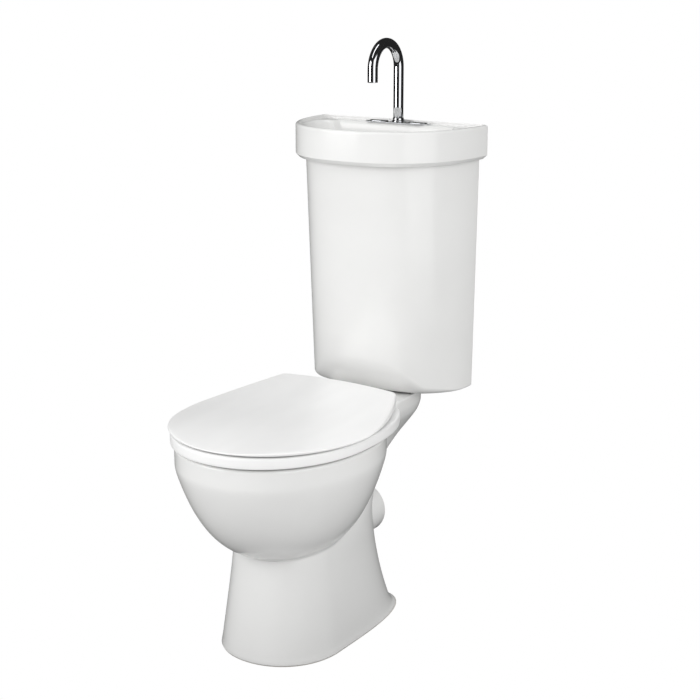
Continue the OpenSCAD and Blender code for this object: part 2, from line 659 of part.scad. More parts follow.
module cistern() color(china) difference() {
  skin(
    [
      for (a = [0:15:90]) foot_ring(a),
      for (i = [0:3]) cistern_ring(cistern_z + 110 + (cistern_h - 113) * i / 3, 0),
      cistern_ring(cistern_top, 2), cistern_ring(cistern_top, cistern_wall - 1),
      cistern_ring(cistern_top - 2, cistern_wall),
      cistern_ring(cistern_z + 120, cistern_wall),
      for (a = [90:-22.5:0]) foot_ring(a, cistern_wall, cistern_floor)
    ],
    [0, at(90), cistern_z],
    [0, at(90), floor_z]
  );
  translate([0, at(flush_d), cistern_z - over]) cylinder(h = cistern_floor + 2 * over, r = tail_r + hole_clearance);
  for (s = [-1, 1]) {
    translate([s * coupling_span / 2, at(flush_d), cistern_z - over])
      cylinder(h = cistern_floor + 2 * over, d = coupling_hole);
    translate([s * wall_hole_span / 2, at(-over), cistern_top - 90]) rotate([90, 0, 0])
      cylinder(h = cistern_wall + 2 * over, d = wall_hole);
  }
  translate([-inlet_x, at(inlet_d), cistern_z - over])
    cylinder(h = cistern_floor + 2 * over, d = inlet_od + 2 * hole_clearance);
}

// Dark pad on the deck, ending short of the sweep of the cistern, with an ear turned down at each rear corner
pad_inset = 8;
pad_front = 114;
ear_h = 14;
ear_t = 3;
ear_w = 8;
ear_turn = 30; // direction that the ear faces, from +X towards the wall
ear_ray = 77; // direction of the ear from the middle of the bowl
ear_gap = 2;
module pad_ear() {
  r = pan_radius(ear_ray, deck_h - rim_edge);
  translate([r * cos(ear_ray), at(bowl_centre) + r * sin(ear_ray), deck_h + pad_t]) rotate(ear_turn) {
    translate([ear_gap, -ear_w / 2, -ear_h]) cube([ear_t, ear_w, ear_h]);
    translate([-12, -ear_w / 2, 0.5 - pad_t]) cube([12 + ear_gap + over, ear_w, pad_t - 1]);
  }
}

module deck_pad() color(rubber) difference() {
  union() {
    translate([0, 0, deck_h]) linear_extrude(pad_t) polygon([
      for (p = [[-1, deck_rear + 10], [-1, pad_front], [-0.65, pad_front + 7],
        [0.65, pad_front + 7], [1, pad_front], [1, deck_rear + 10]])
        [p[0] * (deck_w / 2 - pad_inset - 4), at(p[1])]
    ]);
    pad_ear();
    mirror([1, 0, 0]) pad_ear();
  }
  translate([0, at(flush_d), deck_h - over]) cylinder(h = pad_t + 2 * over, r = seal_r);
  for (s = [-1, 1]) translate([s * coupling_span / 2, at(flush_d), deck_h - over])
    cylinder(h = pad_t + 2 * over, d = coupling_hole);
}

module outlet_seal() color(rubber) translate([0, at(flush_d), deck_h - flush_recess]) difference() {
  cylinder(h = 12, r = seal_r - seat_clearance);
  translate([0, 0, -over]) cylinder(h = 12 + 2 * over, r = tail_r + seat_clearance);
}

nut_h = cistern_z - deck_h + flush_recess - 12;
module outlet_back_nut() color(plastic_white) translate([0, at(flush_d), cistern_z - nut_h]) difference() {
  cylinder(h = nut_h, r = 28, $fn = 8);
  translate([0, 0, -over]) cylinder(h = nut_h + 2 * over, r = tail_r + 0.05);
}

coupling_nut_z = deck_h - deck_t - nut_washer_t - nut_t;
head_washer_t = 4;
module coupling_bolts() color(steel)
  for (s = [-1, 1]) translate([s * coupling_span / 2, at(flush_d), 0]) {
    translate([0, 0, coupling_nut_z - bolt_tail])
      cylinder(h = floor_z + head_washer_t - coupling_nut_z + bolt_tail, d = 8);
    translate([0, 0, floor_z + head_washer_t]) cylinder(h = 5, d = 16);
  }

module coupling_washers() color(rubber)
  for (s = [-1, 1]) translate([s * coupling_span / 2, at(flush_d), 0]) {
    translate([0, 0, coupling_nut_z + nut_t]) bolt_washer();
    translate([0, 0, floor_z]) difference() {
      cylinder(h = head_washer_t, d = 22);
      translate([0, 0, -over]) cylinder(h = head_washer_t + 2 * over, d = 8.1);
    }
  }

module coupling_nuts() color(plastic_white)
  for (s = [-1, 1]) translate([s * coupling_span / 2, at(flush_d), coupling_nut_z]) hand_nut();

// ---------------------------------------------------------------- basin

basin_skirt_z = cistern_top - skirt_h;
back_rim = 4; // width of the basin's rim along the wall
side_rim = 20; // width of the basin's rim at the sides of the bowl
function basin_out(z, inset) = lay(dee(basin_w / 2 - inset, basin_d - inset, min(inset, back_rim), corner_r), z);
bowl_mid_d = (ledge_d + basin_d - basin_rim) / 2;
function basin_inside(share, z, grow = 0) = [
  for (p = dee(basin_w / 2 - side_rim + grow, basin_d - basin_rim + grow, ledge_d - grow, 30, 2, 2))
    [p[0] * share, at(bowl_mid_d) + (p[1] - at(bowl_mid_d)) * share, z]
];
bowl_floor_z = ledge_z - basin_bowl;
// Height of the inside of the bowl at a share of its outline
function basin_z(share) = bowl_floor_z + basin_bowl * (share > 0.3 ? pow(share, 4) : 0);
skirt_in = (basin_w - cistern_top_w) / 2 - skirt_gap;
waste_od = 34;

module basin() color(china) difference() {
  skin(
    [
      for (s = [0.3, 0.55, 0.7, 0.77]) basin_inside(s, basin_z(s) - basin_wall),
      basin_inside(0.8, cistern_top),
      basin_out(cistern_top, skirt_in), basin_out(basin_skirt_z + 2, skirt_in), basin_out(basin_skirt_z, skirt_in - 2),
      basin_out(basin_skirt_z, 7), basin_out(basin_skirt_z + 2, 2), basin_out(basin_skirt_z + 7, 0),
      basin_out(basin_top - 5, 0), basin_out(basin_top - 1.5, 1.5), basin_out(basin_top, 5),
      basin_out(basin_top - 1, 8), basin_out(ledge_z, basin_rim - 3),
      basin_inside(1, ledge_z, 0.5), basin_inside(0.985, basin_z(0.955)),
      for (s = [0.95, 0.88, 0.8, 0.68, 0.5, 0.3]) basin_inside(s, basin_z(s))
    ],
    [0, at(bowl_mid_d), bowl_floor_z - basin_wall],
    [0, at(bowl_mid_d), bowl_floor_z]
  );
  translate([0, at(bowl_mid_d), bowl_floor_z - basin_wall - over])
    cylinder(h = basin_wall + 10, d = waste_od + 1);
  translate([0, at(spout_d), cistern_top - over]) cylinder(h = basin_rise + over, d = 16);
  for (s = [-1, 1]) {
    translate([s * button_x, at(spout_d), cistern_top - over]) cylinder(h = basin_rise + over, d = rod_od + 2);
    translate([s * button_x, at(spout_d), ledge_z - button_travel - 4]) linear_extrude(button_travel + 4 + over)
      stadium(button_l + 6, button_w + 4);
  }
  // the cistern's back wall stands where a rear skirt would be
  translate([-cistern_top_w / 2 - skirt_gap, at(cistern_wall + 12), basin_skirt_z - over])
    cube([cistern_top_w + 2 * skirt_gap, cistern_wall + 12 + over, skirt_h + over]);
}

// Flat shape with two straight sides and two round ends
module stadium(length, width) {
  square([length - width, width], center = true);
  for (s = [-1, 1]) translate([s * (length - width) / 2, 0]) circle(d = width);
}

module button_plate() color(chrome) translate([0, at(spout_d), ledge_z]) difference() {
  linear_extrude(plate_t) stadium(plate_l, plate_w);
  for (s = [-1, 1]) translate([s * button_x, 0, -over]) linear_extrude(plate_t + 2 * over)
    stadium(button_l + 2 * button_gap, button_w + 2 * button_gap);
  translate([0, 0, -over]) cylinder(h = plate_t + 2 * over, d = 14.2);
}

button_proud = 1; // how far a button stands over the plate
button_h = plate_t + button_proud + 2;
module button() linear_extrude(button_h) stadium(button_l, button_w);
module full_flush_button() color(chrome)
  translate([button_x, at(spout_d), plate_top + button_proud - button_h]) button();
module half_flush_button() color(chrome)
  translate([-button_x, at(spout_d), plate_top + button_proud - button_h]) button();

rocker_z = floor_z + rocker_h;
rod_foot = rocker_z + 4.3;
module rod(x) translate([x, at(spout_d), rod_foot])
  cylinder(h = plate_top + button_proud - button_h - rod_foot, d = rod_od);
module full_flush_rod() color(valve_plastic) rod(button_x);
module half_flush_rod() color(valve_blue) rod(-button_x);

arch_r = spout_reach / 2;
arch_z = plate_top + spout_h - spout_od / 2 - arch_r;
collar_h = 8;
module spout() color(chrome) {
  translate([0, at(spout_d), plate_top]) difference() {
    cylinder(h = arch_z - plate_top, d = spout_od);
    translate([0, 0, 4]) cylinder(h = arch_z - plate_top, d = spout_od - 2 * spout_wall);
  }
  translate([0, at(spout_d + arch_r), arch_z]) rotate([90, 0, 90]) rotate_extrude(angle = 180)
    translate([arch_r, 0]) difference() {
      circle(d = spout_od);
      circle(d = spout_od - 2 * spout_wall);
    }
  translate([0, at(spout_d + spout_reach), arch_z - spout_drop]) difference() {
    cylinder(h = spout_drop, d = spout_od);
    translate([0, 0, -over]) cylinder(h = spout_drop + 2 * over, d = spout_od - 2 * spout_wall);
  }
  translate([0, at(spout_d), cistern_top - 34]) difference() {
    cylinder(h = plate_top + 4 - cistern_top + 34, d = 14);
    translate([0, 0, -over]) cylinder(h = 120, d = 9);
  }
}

module spout_collar() color(chrome) translate([0, at(spout_d), plate_top]) difference() {
  union() {
    cylinder(h = 3, d = spout_od + 5);
    cylinder(h = collar_h, d = spout_od + 2);
  }
  translate([0, 0, -over]) cylinder(h = collar_h + 2 * over, d = spout_od + 0.1);
}

module spout_nut() color(steel) translate([0, at(spout_d), cistern_top - 9]) difference() {
  cylinder(h = 9, d = 24, $fn = 6);
  translate([0, 0, -over]) cylinder(h = 9 + 2 * over, d = 14.1);
}

// ---------------------------------------------------------------- waste, hose and inlet

grate_t = 2.5;
module basin_waste() color(chrome) translate([0, at(bowl_mid_d), bowl_floor_z]) difference() {
  union() {
    cylinder(h = grate_t, d = waste_od + 12);
    translate([0, 0, -basin_wall - 24]) cylinder(h = basin_wall + 24, d = waste_od);
  }
  translate([0, 0, -basin_wall - 24 - over]) cylinder(h = basin_wall + 24 + over, d = waste_od - 5);
  for (i = [0:5]) rotate(i * 60) translate([9, 0, -over]) cylinder(h = grate_t + 2 * over, d = 6);
  translate([0, 0, -over]) cylinder(h = grate_t + 2 * over, d = 6);
}

module basin_waste_nut() color(plastic_white)
  translate([0, at(bowl_mid_d), bowl_floor_z - basin_wall - 10]) difference() {
    cylinder(h = 10, d = waste_od + 14, $fn = 8);
    translate([0, 0, -over]) cylinder(h = 10 + 2 * over, d = waste_od + 0.1);
  }

head_z = cistern_top - 110; // underside of the valve head
head_h = 46;
head_r = 19;
inlet_flange_r = 16.5;
inlet_z = cistern_z - 34; // lower end of the inlet thread
inlet_free = 20; // length of thread below the groove under the nut
ear_x = -inlet_x + head_r + 7;
float_z = head_z + 10; // height of the float pivot
outlet_x = -inlet_x + head_r + 12;
hose_od = 11;
hose_in_z = head_z + head_h - 12;

module inlet_valve() color(valve_plastic) translate([-inlet_x, at(inlet_d), 0]) {
  difference() {
    union() {
      translate([0, 0, inlet_z]) cylinder(h = inlet_free, d = inlet_od);
      translate([0, 0, inlet_z]) cylinder(h = inlet_free + 3, d = inlet_od - 2);
      translate([0, 0, inlet_z + inlet_free + 1.5]) cylinder(h = floor_z - inlet_z - inlet_free + 1.5, d = inlet_od);
      translate([0, 0, floor_z + 3]) cylinder(h = 4, r = inlet_flange_r);
      translate([0, 0, floor_z + 7]) cylinder(h = head_z - floor_z - 7, r = 12);
      translate([0, 0, head_z]) cylinder(h = head_h, r = head_r);
      translate([0, 0, hose_in_z]) rotate([0, 90, 0]) cylinder(h = head_r + 12, d = 9);
      translate([head_r - 2, -9, float_z - 8]) cube([14, 4, 16]);
      translate([head_r - 2, 5, float_z - 8]) cube([14, 4, 16]);
    }
    translate([0, 0, inlet_z - over]) cylinder(h = 60, d = inlet_od - 7);
    translate([head_r + 7, -10, float_z]) rotate([-90, 0, 0]) cylinder(h = 20, d = 4);
  }
}

module inlet_washer() color(rubber) translate([-inlet_x, at(inlet_d), floor_z]) difference() {
  cylinder(h = 3, r = inlet_flange_r - 0.5);
  translate([0, 0, -over]) cylinder(h = 3 + 2 * over, d = inlet_od + 0.1);
}

module inlet_nut() color(plastic_white) translate([-inlet_x, at(inlet_d), cistern_z - 10]) difference() {
  cylinder(h = 10, r = inlet_flange_r + 0.5, $fn = 6);
  translate([0, 0, -over]) cylinder(h = 10 + 2 * over, d = inlet_od + 0.1);
}

float_l = 44;
float_x = ear_x + 45;
float_mid_d = inlet_d + 38;
float_top = float_z - 14;
module float_arm() color(valve_plastic) difference() {
  union() {
    translate([ear_x, at(inlet_d) - 4.5, float_z]) rotate([-90, 0, 0]) cylinder(h = 9, r = 6);
    translate([ear_x, at(inlet_d) - 4.5, float_z - 3]) cube([48, 9, 6]);
    translate([float_x - 5, at(float_mid_d), float_z - 3]) cube([8, float_mid_d - inlet_d, 6]);
    translate([float_x - 1, at(float_mid_d) + 4, float_top]) cylinder(h = float_z - float_top, d = 7);
  }
  translate([ear_x, at(inlet_d) - 6, float_z]) rotate([-90, 0, 0]) cylinder(h = 12, d = 4 + 2 * pin_clearance);
}

module float() color(valve_blue)
  translate([float_x - 1, at(float_mid_d) + 4, float_top - 46]) cylinder(h = 46, d = float_l);

module float_pin() color(steel) translate([ear_x, at(inlet_d) - 11, float_z]) rotate([-90, 0, 0]) cylinder(h = 22, d = 4);

hose_start = [0, at(spout_d), cistern_top - 34];
hose_end = [outlet_x, at(inlet_d), hose_in_z];
hose_path = [
  hose_start,
  each curve(hose_start - [0, 0, 3], hose_start - [0, 0, 46], hose_end + [41, 0, 0], hose_end + [3, 0, 0], 14),
  hose_end
];
module riser_hose() color(hose_grey) {
  rings = tube_rings(hose_path, hose_od / 2, 10);
  skin(rings, hose_path[0], hose_path[len(hose_path) - 1]);
}

// ---------------------------------------------------------------- flush valve

basket_r = 29;
basket_h = 90;
guide_r = stem_od / 2 + 4;
tower_top = floor_z + rocker_h - 12;
stem_gap = 0.5;
pivot_d = 56;

module outlet_valve_body() color(valve_plastic) translate([0, at(flush_d), 0]) difference() {
  union() {
    translate([0, 0, cistern_z - 30]) cylinder(h = 30 + cistern_floor, r = tail_r);
    translate([0, 0, floor_z]) cylinder(h = 5, r = 27);
    translate([0, 0, floor_z + 5]) cylinder(h = basket_h, r = basket_r);
    translate([0, 0, floor_z + 5 + basket_h]) cylinder(h = tower_top - floor_z - 5 - basket_h, r = guide_r);
    translate([-3, 0, rocker_z - 45]) cube([6, flush_d - pivot_d, 33]);
    translate([-3, flush_d - pivot_d - 8, rocker_z - 20]) cube([6, 16, 28]);
  }
  translate([0, 0, cistern_z - 30 - over]) cylinder(h = 30 + cistern_floor + 6 + over, r = tail_r - 4);
  translate([0, 0, floor_z + 5]) cylinder(h = basket_h - 5, r = basket_r - 3);
  translate([0, 0, floor_z]) cylinder(h = rocker_h + 20, r = stem_od / 2 + stem_gap);
  for (i = [0:1]) rotate(45 + 90 * i) translate([-40, -13, floor_z + 14]) cube([80, 26, basket_h - 30]);
  translate([-4, flush_d - pivot_d, rocker_z]) rotate([0, 90, 0]) cylinder(h = 8, d = 6);
}

lift_z = rocker_z + 8; // underside of the lug that the full-flush rocker lifts
module valve_stem() color(valve_blue) translate([0, at(flush_d), 0]) difference() {
  union() {
    translate([0, 0, floor_z + 9]) cylinder(h = overflow_h - 9, d = stem_od);
    translate([0, 0, floor_z + 9]) cylinder(h = 4, r = 24);
    translate([0, 0, lift_z]) intersection() {
      cylinder(h = 5, r = 24);
      translate([-guide_r + 2.5, -25, 0]) cube([50, 50, 5]);
    }
  }
  translate([0, 0, floor_z + 8]) cylinder(h = overflow_h, d = stem_od - 5);
}

module valve_seal() color(rubber) translate([0, at(flush_d), floor_z + 5 + seat_clearance]) difference() {
  cylinder(h = 4 - seat_clearance, r = 24.5);
  translate([0, 0, -over]) cylinder(h = 4 + 2 * over, r = stem_od / 2 - 2.5);
}

module rocker_pin() color(steel) translate([-54, at(pivot_d), rocker_z]) rotate([0, 90, 0]) cylinder(h = 108, d = 6);

// Rocker on the right-hand side: a hub on the pin, an arm under the rod and an arm that lifts the stem
rocker_hub = 12;
module rocker() difference() {
  union() {
    translate([3.4, at(pivot_d), rocker_z]) rotate([0, 90, 0]) cylinder(h = 48, d = rocker_hub);
    translate([button_x - 5, at(pivot_d), rocker_z - 4]) cube([10, pivot_d - spout_d, 8]);
    translate([button_x, at(spout_d), rocker_z - 4]) cylinder(h = 8, r = 6);
    translate([guide_r + 1, at(flush_d + 6), rocker_z - 4]) cube([6, flush_d + 6 - pivot_d, 8]);
    translate([guide_r - 2, at(flush_d + 6), rocker_z + 3]) cube([9, 12, lift_z - rocker_z - 3 - seat_clearance]);
  }
  translate([2, at(pivot_d), rocker_z]) rotate([0, 90, 0]) cylinder(h = 52, d = 6 + 2 * pin_clearance);
}
module full_flush_rocker() color(valve_plastic) rocker();
module half_flush_rocker() color(valve_blue) mirror([1, 0, 0]) rocker();

// ---------------------------------------------------------------- assembly

pan();
cistern();
basin();
seat();
seat_buffers();
lid();
lid_buffers();
hinge_posts();
hinge_pins();
seat_bolts();
seat_bolt_washers();
seat_bolt_nuts();
deck_pad();
outlet_seal();
outlet_back_nut();
coupling_bolts();
coupling_washers();
coupling_nuts();
outlet_valve_body();
valve_stem();
valve_seal();
rocker_pin();
full_flush_rocker();
half_flush_rocker();
full_flush_rod();
half_flush_rod();
full_flush_button();
half_flush_button();
button_plate();
spout();
spout_collar();
spout_nut();
riser_hose();
basin_waste();
basin_waste_nut();
inlet_valve();
inlet_washer();
inlet_nut();
float_arm();
float();
float_pin();
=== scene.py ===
import json
import math

import bmesh
import bpy
import numpy as np
from bpy.props import FloatProperty, FloatVectorProperty, PointerProperty
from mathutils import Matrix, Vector


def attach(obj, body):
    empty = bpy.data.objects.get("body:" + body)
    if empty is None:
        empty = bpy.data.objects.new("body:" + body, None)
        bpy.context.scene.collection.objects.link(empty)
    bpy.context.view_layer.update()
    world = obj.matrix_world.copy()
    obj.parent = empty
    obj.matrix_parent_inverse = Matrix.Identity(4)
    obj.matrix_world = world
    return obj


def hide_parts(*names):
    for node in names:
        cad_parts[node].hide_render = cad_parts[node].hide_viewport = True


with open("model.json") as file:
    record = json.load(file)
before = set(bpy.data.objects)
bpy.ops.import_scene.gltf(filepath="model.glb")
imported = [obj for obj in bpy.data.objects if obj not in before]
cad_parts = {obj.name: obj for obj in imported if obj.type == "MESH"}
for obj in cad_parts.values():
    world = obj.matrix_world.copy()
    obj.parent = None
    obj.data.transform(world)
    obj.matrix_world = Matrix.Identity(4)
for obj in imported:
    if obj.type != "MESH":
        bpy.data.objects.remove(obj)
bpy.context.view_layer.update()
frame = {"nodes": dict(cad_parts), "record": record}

bl_info = {
    "name": "Toilet with basin on the cistern",
    "version": (1, 0, 0),
    "blender": (4, 5, 0),
    "location": "3D View > Sidebar > Toilet",
    "description": "Glazed skins, seat, spout, fittings and studio around the packed model",
    "category": "Object",
}

MM = 0.001
TURN = 2 * math.pi

# ---------------------------------------------------------------- sizes in millimetres, as in the CAD

DEPTH = 666
WALL_Y = DEPTH / 2
RIM_Z, DECK_Z = 415, 430
BOWL_HALF, BOWL_D, BOWL_REAR_D, RIM_INSET = 184, 430, 220, 8
BOWL_DEEP, UPRIGHT_Z = 194.5, RIM_Z - 32.5
FOOT_HALF, FOOT_FRONT, FOOT_REAR = 122, 559, 128
FOOT_EDGE_IN, FOOT_EDGE_UP = 2, 3
DECK_HALF, DECK_REAR, DECK_FRONT = 99, 50, 190
DECK_WALL, DECK_BACK, SPINE_HALF = 14, 24, 34
CREASE_Z, HOLLOW_Z, FOOT_WALL = 186, 150, 14
BOWL_EASE, CREASE_BLEND = 0.06, 8
BOWL_LOW_D, BOWL_LOW_Z = 386, RIM_Z - 236
RIM_EDGE, OPENING_HALF, RIM_LAND, RIM_FLAT = 8, 123, 50, 0.8
OUTLET_Z, OUTLET_R, OUTLET_BORE_R, OUTLET_D, SPIGOT_FREE = 185, 51.5, 43, 149, 24
SPIGOT_LIP = 2
FLUSH_D, SEAT_BOLT_D, COUPLING_X, BUTTON_X = 88, 212, 65, 45
FLUSH_Z, FLUSH_R, SEAL_SEAT_Z, SEAL_SEAT_R, FLUSHWAY_R = DECK_Z - 40, 25, DECK_Z - 21.5, 30, 20
BOLT_HOLE_R = 5.5
WINDOW_X, WINDOW_Z, WINDOW_HALF, WINDOW_H = 55, DECK_Z - 80, 16, 58
TRAP_R, TRAP_WALL = 34, 9
SEAT_D, SEAT_REAR_D = 445, 243
SEAT_FRONT, SEAT_BACK = DEPTH - SEAT_D, SEAT_D - SEAT_REAR_D
SEAT_HALF, SEAT_SWEEP, SEAT_BEND, SEAT_CORNER = 189, 259, 2.48, 8
SEAT_HOLE_HALF, SEAT_HOLE_FRONT, SEAT_HOLE_REAR_D = 111, DEPTH - 62, 318
SEAT_Z, SEAT_T, LID_Z = 420, 21, 444
LID_HALF, LID_SWEEP, LID_BEND, LID_WALL = 195.5, 340, 1.53, 4.5
LID_SIDE, LID_WEDGE, LID_CROWN, LID_WEDGE_START = 3, 17, 13, 60
HINGE_D, HINGE_Z, HINGE_SPAN = 226, 437, 136
KNUCKLE_R, KNUCKLE_W, PIN_BORE_R = 9.5, 16, 4.05
SEAT_KNUCKLE_X, LID_KNUCKLE_X = 50.5, 85.5
CISTERN_Z, CISTERN_TOP, CISTERN_WALL, CISTERN_FLOOR = 433, 914, 7, 10
CISTERN_FOOT = (167.5, 181)
CISTERN_HEAD = (175.5, 210)
CORNER_R = 8
CISTERN_MID_D, FOOT_TOP = 90, CISTERN_Z + 86
SCREW_X, SCREW_Z, SCREW_HOLE_R = 120, 824, 4
FLUSH_HOLE_R, INLET_X, INLET_D, INLET_HOLE_R = 24, -121, 62, 11.5
BASIN_HALF, BASIN_D, BASIN_TOP, SKIRT_Z = 192.5, 232, 963, 897
LEDGE_Z, LEDGE_D, BASIN_RIM, SIDE_RIM, BACK_RIM, BASIN_DEEP, BASIN_WALL = 957.5, 46, 13, 20, 4, 60, 9
BASIN_MID_D, BASIN_FLOOR = (LEDGE_D + BASIN_D - BASIN_RIM) / 2, LEDGE_Z - BASIN_DEEP
LEDGE_IN, SKIRT_IN, COLLAR_R, BASIN_EDGE = 9.8, 14, 7, 5
REBATE_HALF, REBATE_D = 178.5, 19
WASTE_HOLE_R, SHANK_HOLE_R, ROD_HOLE_R = 17.5, 8, 5
WELL_L, WELL_W, WELL_DEEP = 46, 24, 12
SPOUT_D, SPOUT_R, SPOUT_BORE_R, SPOUT_REACH, ARCH_Z, SPOUT_DROP = 23, 10, 8.5, 98, 1068, 24
SHANK_R, SHANK_Z, PLATE_TOP = 7, 880, 960
OVER = 2  # how far a cutting tool reaches past a wall


def at(d):
    """y of a place d millimetres from the wall."""
    return WALL_Y - d


# ---------------------------------------------------------------- shape functions


def smooth(t):
    """3 t^2 - 2 t^3 between 0 and 1, and flat outside."""
    s = np.clip(t, 0, 1)
    return s * s * (3 - 2 * s)


def soft_max(a, b, k):
    """The larger of a and b, with their crossing rounded over a width k."""
    h = np.maximum(k - np.abs(a - b), 0) / k
    return np.maximum(a, b) + h * h * k / 4


def egg(a, half_w, front, rear, n_front, n_rear):
    """Radius in direction a of (|x| / half_w)^n + (|y| / length)^n = 1, whose length and exponent differ
    in front and behind."""
    ahead = np.sin(a) < 0
    n = np.where(ahead, n_front, n_rear)
    length = np.where(ahead, front, rear)
    return ((np.abs(np.cos(a)) / half_w) ** n + (np.abs(np.sin(a)) / length) ** n) ** (-1 / n)


def spline(rows, count):
    """Uniform cubic B-spline through the ends of a list of rows and near the rest, at count even
    steps."""
    rows = np.asarray(rows, float)
    ends = np.concatenate([2 * rows[:1] - rows[1:2], rows, 2 * rows[-1:] - rows[-2:-1]])
    t = np.linspace(0, len(rows) - 1, count)
    i = np.minimum(t.astype(int), len(rows) - 2)
    s = (t - i)[:, None]
    weights = ((1 - s) ** 3, 3 * s**3 - 6 * s**2 + 4, -3 * s**3 + 3 * s**2 + 3 * s + 1, s**3)
    return sum(w * ends[i + k] for k, w in enumerate(weights)) / 6


def rays(corner, side=48, back=28, front=56, crowd=1.6):
    """Directions counter-clockwise from +X for each corner angle, crowded by a power law towards that
    corner and its mirror image."""
    corner = np.atleast_1d(np.asarray(corner, float))[:, None]
    s, b = np.arange(side) / side, np.arange(back) / back
    right = corner * (1 - (1 - s) ** crowd)
    behind = corner + (math.pi / 2 - corner) * b**crowd
    behind_left = math.pi - corner - (math.pi / 2 - corner) * (1 - b) ** crowd
    left = math.pi - corner * (1 - s**crowd)
    ahead = math.pi * (1 + np.arange(2 * front) / (2 * front)) + 0 * corner
    return np.concatenate([right, behind, behind_left, left, ahead], axis=1)


def dee(half_w, front, rear, corner, n=2.5, m=2.25, steps=150):
    """D-shaped outlines: a straight back with two corner arcs, then x = half_w cos^(2/n), depth = length
    sin^(2/m) round the front."""
    sizes = (half_w, front, rear, corner)
    half_w, front, rear, corner = (np.atleast_1d(np.asarray(v, float))[:, None] for v in sizes)
    q = np.linspace(0, math.pi / 2, 12)
    t = math.pi * (1 + np.arange(1, steps) / steps)
    cx, cy = corner * (1 - np.cos(q)), corner * (1 - np.sin(q))
    across = half_w * np.sign(np.cos(t)) * np.abs(np.cos(t)) ** (2 / n)
    ahead = at(rear) - corner - (front - rear - corner) * np.abs(np.sin(t)) ** (2 / m)
    x = np.concatenate([half_w - cx, cx[:, ::-1] - half_w, across], axis=1)
    y = np.concatenate([at(rear) - cy, (at(rear) - cy)[:, ::-1], ahead], axis=1)
    return np.stack([x, y], axis=-1)


def lay(outline, z):
    """Lays outlines (rings, points, 2) at heights, one per ring."""
    z = np.broadcast_to(np.asarray(z, float).reshape(-1, 1), outline.shape[:2])
    return np.concatenate([outline, z[..., None]], axis=-1)


def polar(a, r, centre, z):
    """Points at radius r in direction a round (0, centre), at height z."""
    z = np.broadcast_to(z, r.shape)
    return np.stack([r * np.cos(a), at(centre) + r * np.sin(a), z], axis=-1)


# ---------------------------------------------------------------- meshes


def skin(name, rings, ends=None, loop=False):
    """Mesh over rings[i, j]: quads join ring i to i + 1 and point j to j + 1, which wraps. ends closes
    the first and last ring on a point each, and loop joins the last ring to the first. Rings that climb
    with counter-clockwise points face outwards."""
    rings = np.asarray(rings, float) * MM
    m, n = rings.shape[:2]
    points = rings.reshape(-1, 3)
    first = np.arange(m if loop else m - 1)[:, None] * n
    j = np.arange(n)[None]
    k = (j + 1) % n
    above = (first + n) % (m * n)
    quads = np.stack([first + j, first + k, above + k, above + j], axis=-1).reshape(-1, 4)
    fans = np.zeros((0, 3), int)
    if ends is not None:
        points = np.concatenate([points, np.asarray(ends, float) * MM])
        a, b, j = m * n, m * n + 1, np.arange(n)
        last = (m - 1) * n
        start = np.stack([np.full(n, a), (j + 1) % n, j], axis=-1)
        close = np.stack([last + j, last + (j + 1) % n, np.full(n, b)], axis=-1)
        fans = np.concatenate([start, close])
    mesh = bpy.data.meshes.new(name)
    mesh.vertices.add(len(points))
    mesh.vertices.foreach_set("co", points.ravel())
    mesh.loops.add(quads.size + fans.size)
    mesh.loops.foreach_set("vertex_index", np.concatenate([quads.ravel(), fans.ravel()]))
    mesh.polygons.add(len(quads) + len(fans))
    starts = np.concatenate([np.arange(len(quads)) * 4, quads.size + np.arange(len(fans)) * 3])
    mesh.polygons.foreach_set("loop_start", starts)
    mesh.update(calc_edges=True)
    mesh.validate()
    return mesh


def lathe(name, profile, centre, axis="z", steps=64):
    """Closed ring of revolution: profile rows (radius, height) turned round the z or x axis through
    centre."""
    profile = np.asarray(profile, float)
    a = np.arange(steps) / steps * TURN
    r, h = profile[:, :1], profile[:, 1:] + 0 * a
    round_x, round_y = r * np.cos(a), r * np.sin(a)
    shape = {"z": (round_x, round_y, h), "x": (h, round_x, round_y)}[axis]
    return skin(name, np.stack(shape, axis=-1) + np.asarray(centre, float), loop=True)


def rod(name, start, end, radius, steps=64):
    """Closed cylinder between two points: rings of the same radius with a point at each end."""
    start, end = np.asarray(start, float), np.asarray(end, float)
    return tube(name, np.linspace(start, end, 2), [radius, radius], steps)


def bent(points, bends, pitch=3.0, steps=200):
    """Even steps along straight runs whose corners are arcs: each arc's centre lies on the corner's
    bisector, at radius / sin(half angle)."""
    points = np.asarray(points, float)
    route = [points[:1]]
    for before, corner, after, radius in zip(points, points[1:], points[2:], bends):
        u = (before - corner) / np.linalg.norm(before - corner)
        v = (after - corner) / np.linalg.norm(after - corner)
        half = math.acos(u @ v) / 2
        centre = corner + (u + v) / np.linalg.norm(u + v) * radius / math.sin(half)
        start, end = (corner + w * radius / math.tan(half) - centre for w in (u, v))
        turn = math.pi - 2 * half
        t = np.linspace(0, turn, steps)[:, None]
        route.append(centre + (np.sin(turn - t) * start + np.sin(t) * end) / math.sin(turn))
    route = np.concatenate([*route, points[-1:]])
    run = np.concatenate([[0], np.cumsum(np.linalg.norm(np.diff(route, axis=0), axis=1))])
    even = np.linspace(0, run[-1], int(run[-1] / pitch) + 1)
    return np.stack([np.interp(even, run, c) for c in route.T], axis=-1)


def sweep(name, path, across, radii, angles):
    """Closed round tube: ring i turns round point i from X towards across[i] by the angles, with its own
    radius."""
    side = np.array([1.0, 0, 0])
    ring = side * np.cos(angles)[None, :, None] + across[:, None] * np.sin(angles)[None, :, None]
    rings = path[:, None] + np.asarray(radii, float)[:, None, None] * ring
    return skin(name, rings, ends=[path[0], path[-1]])


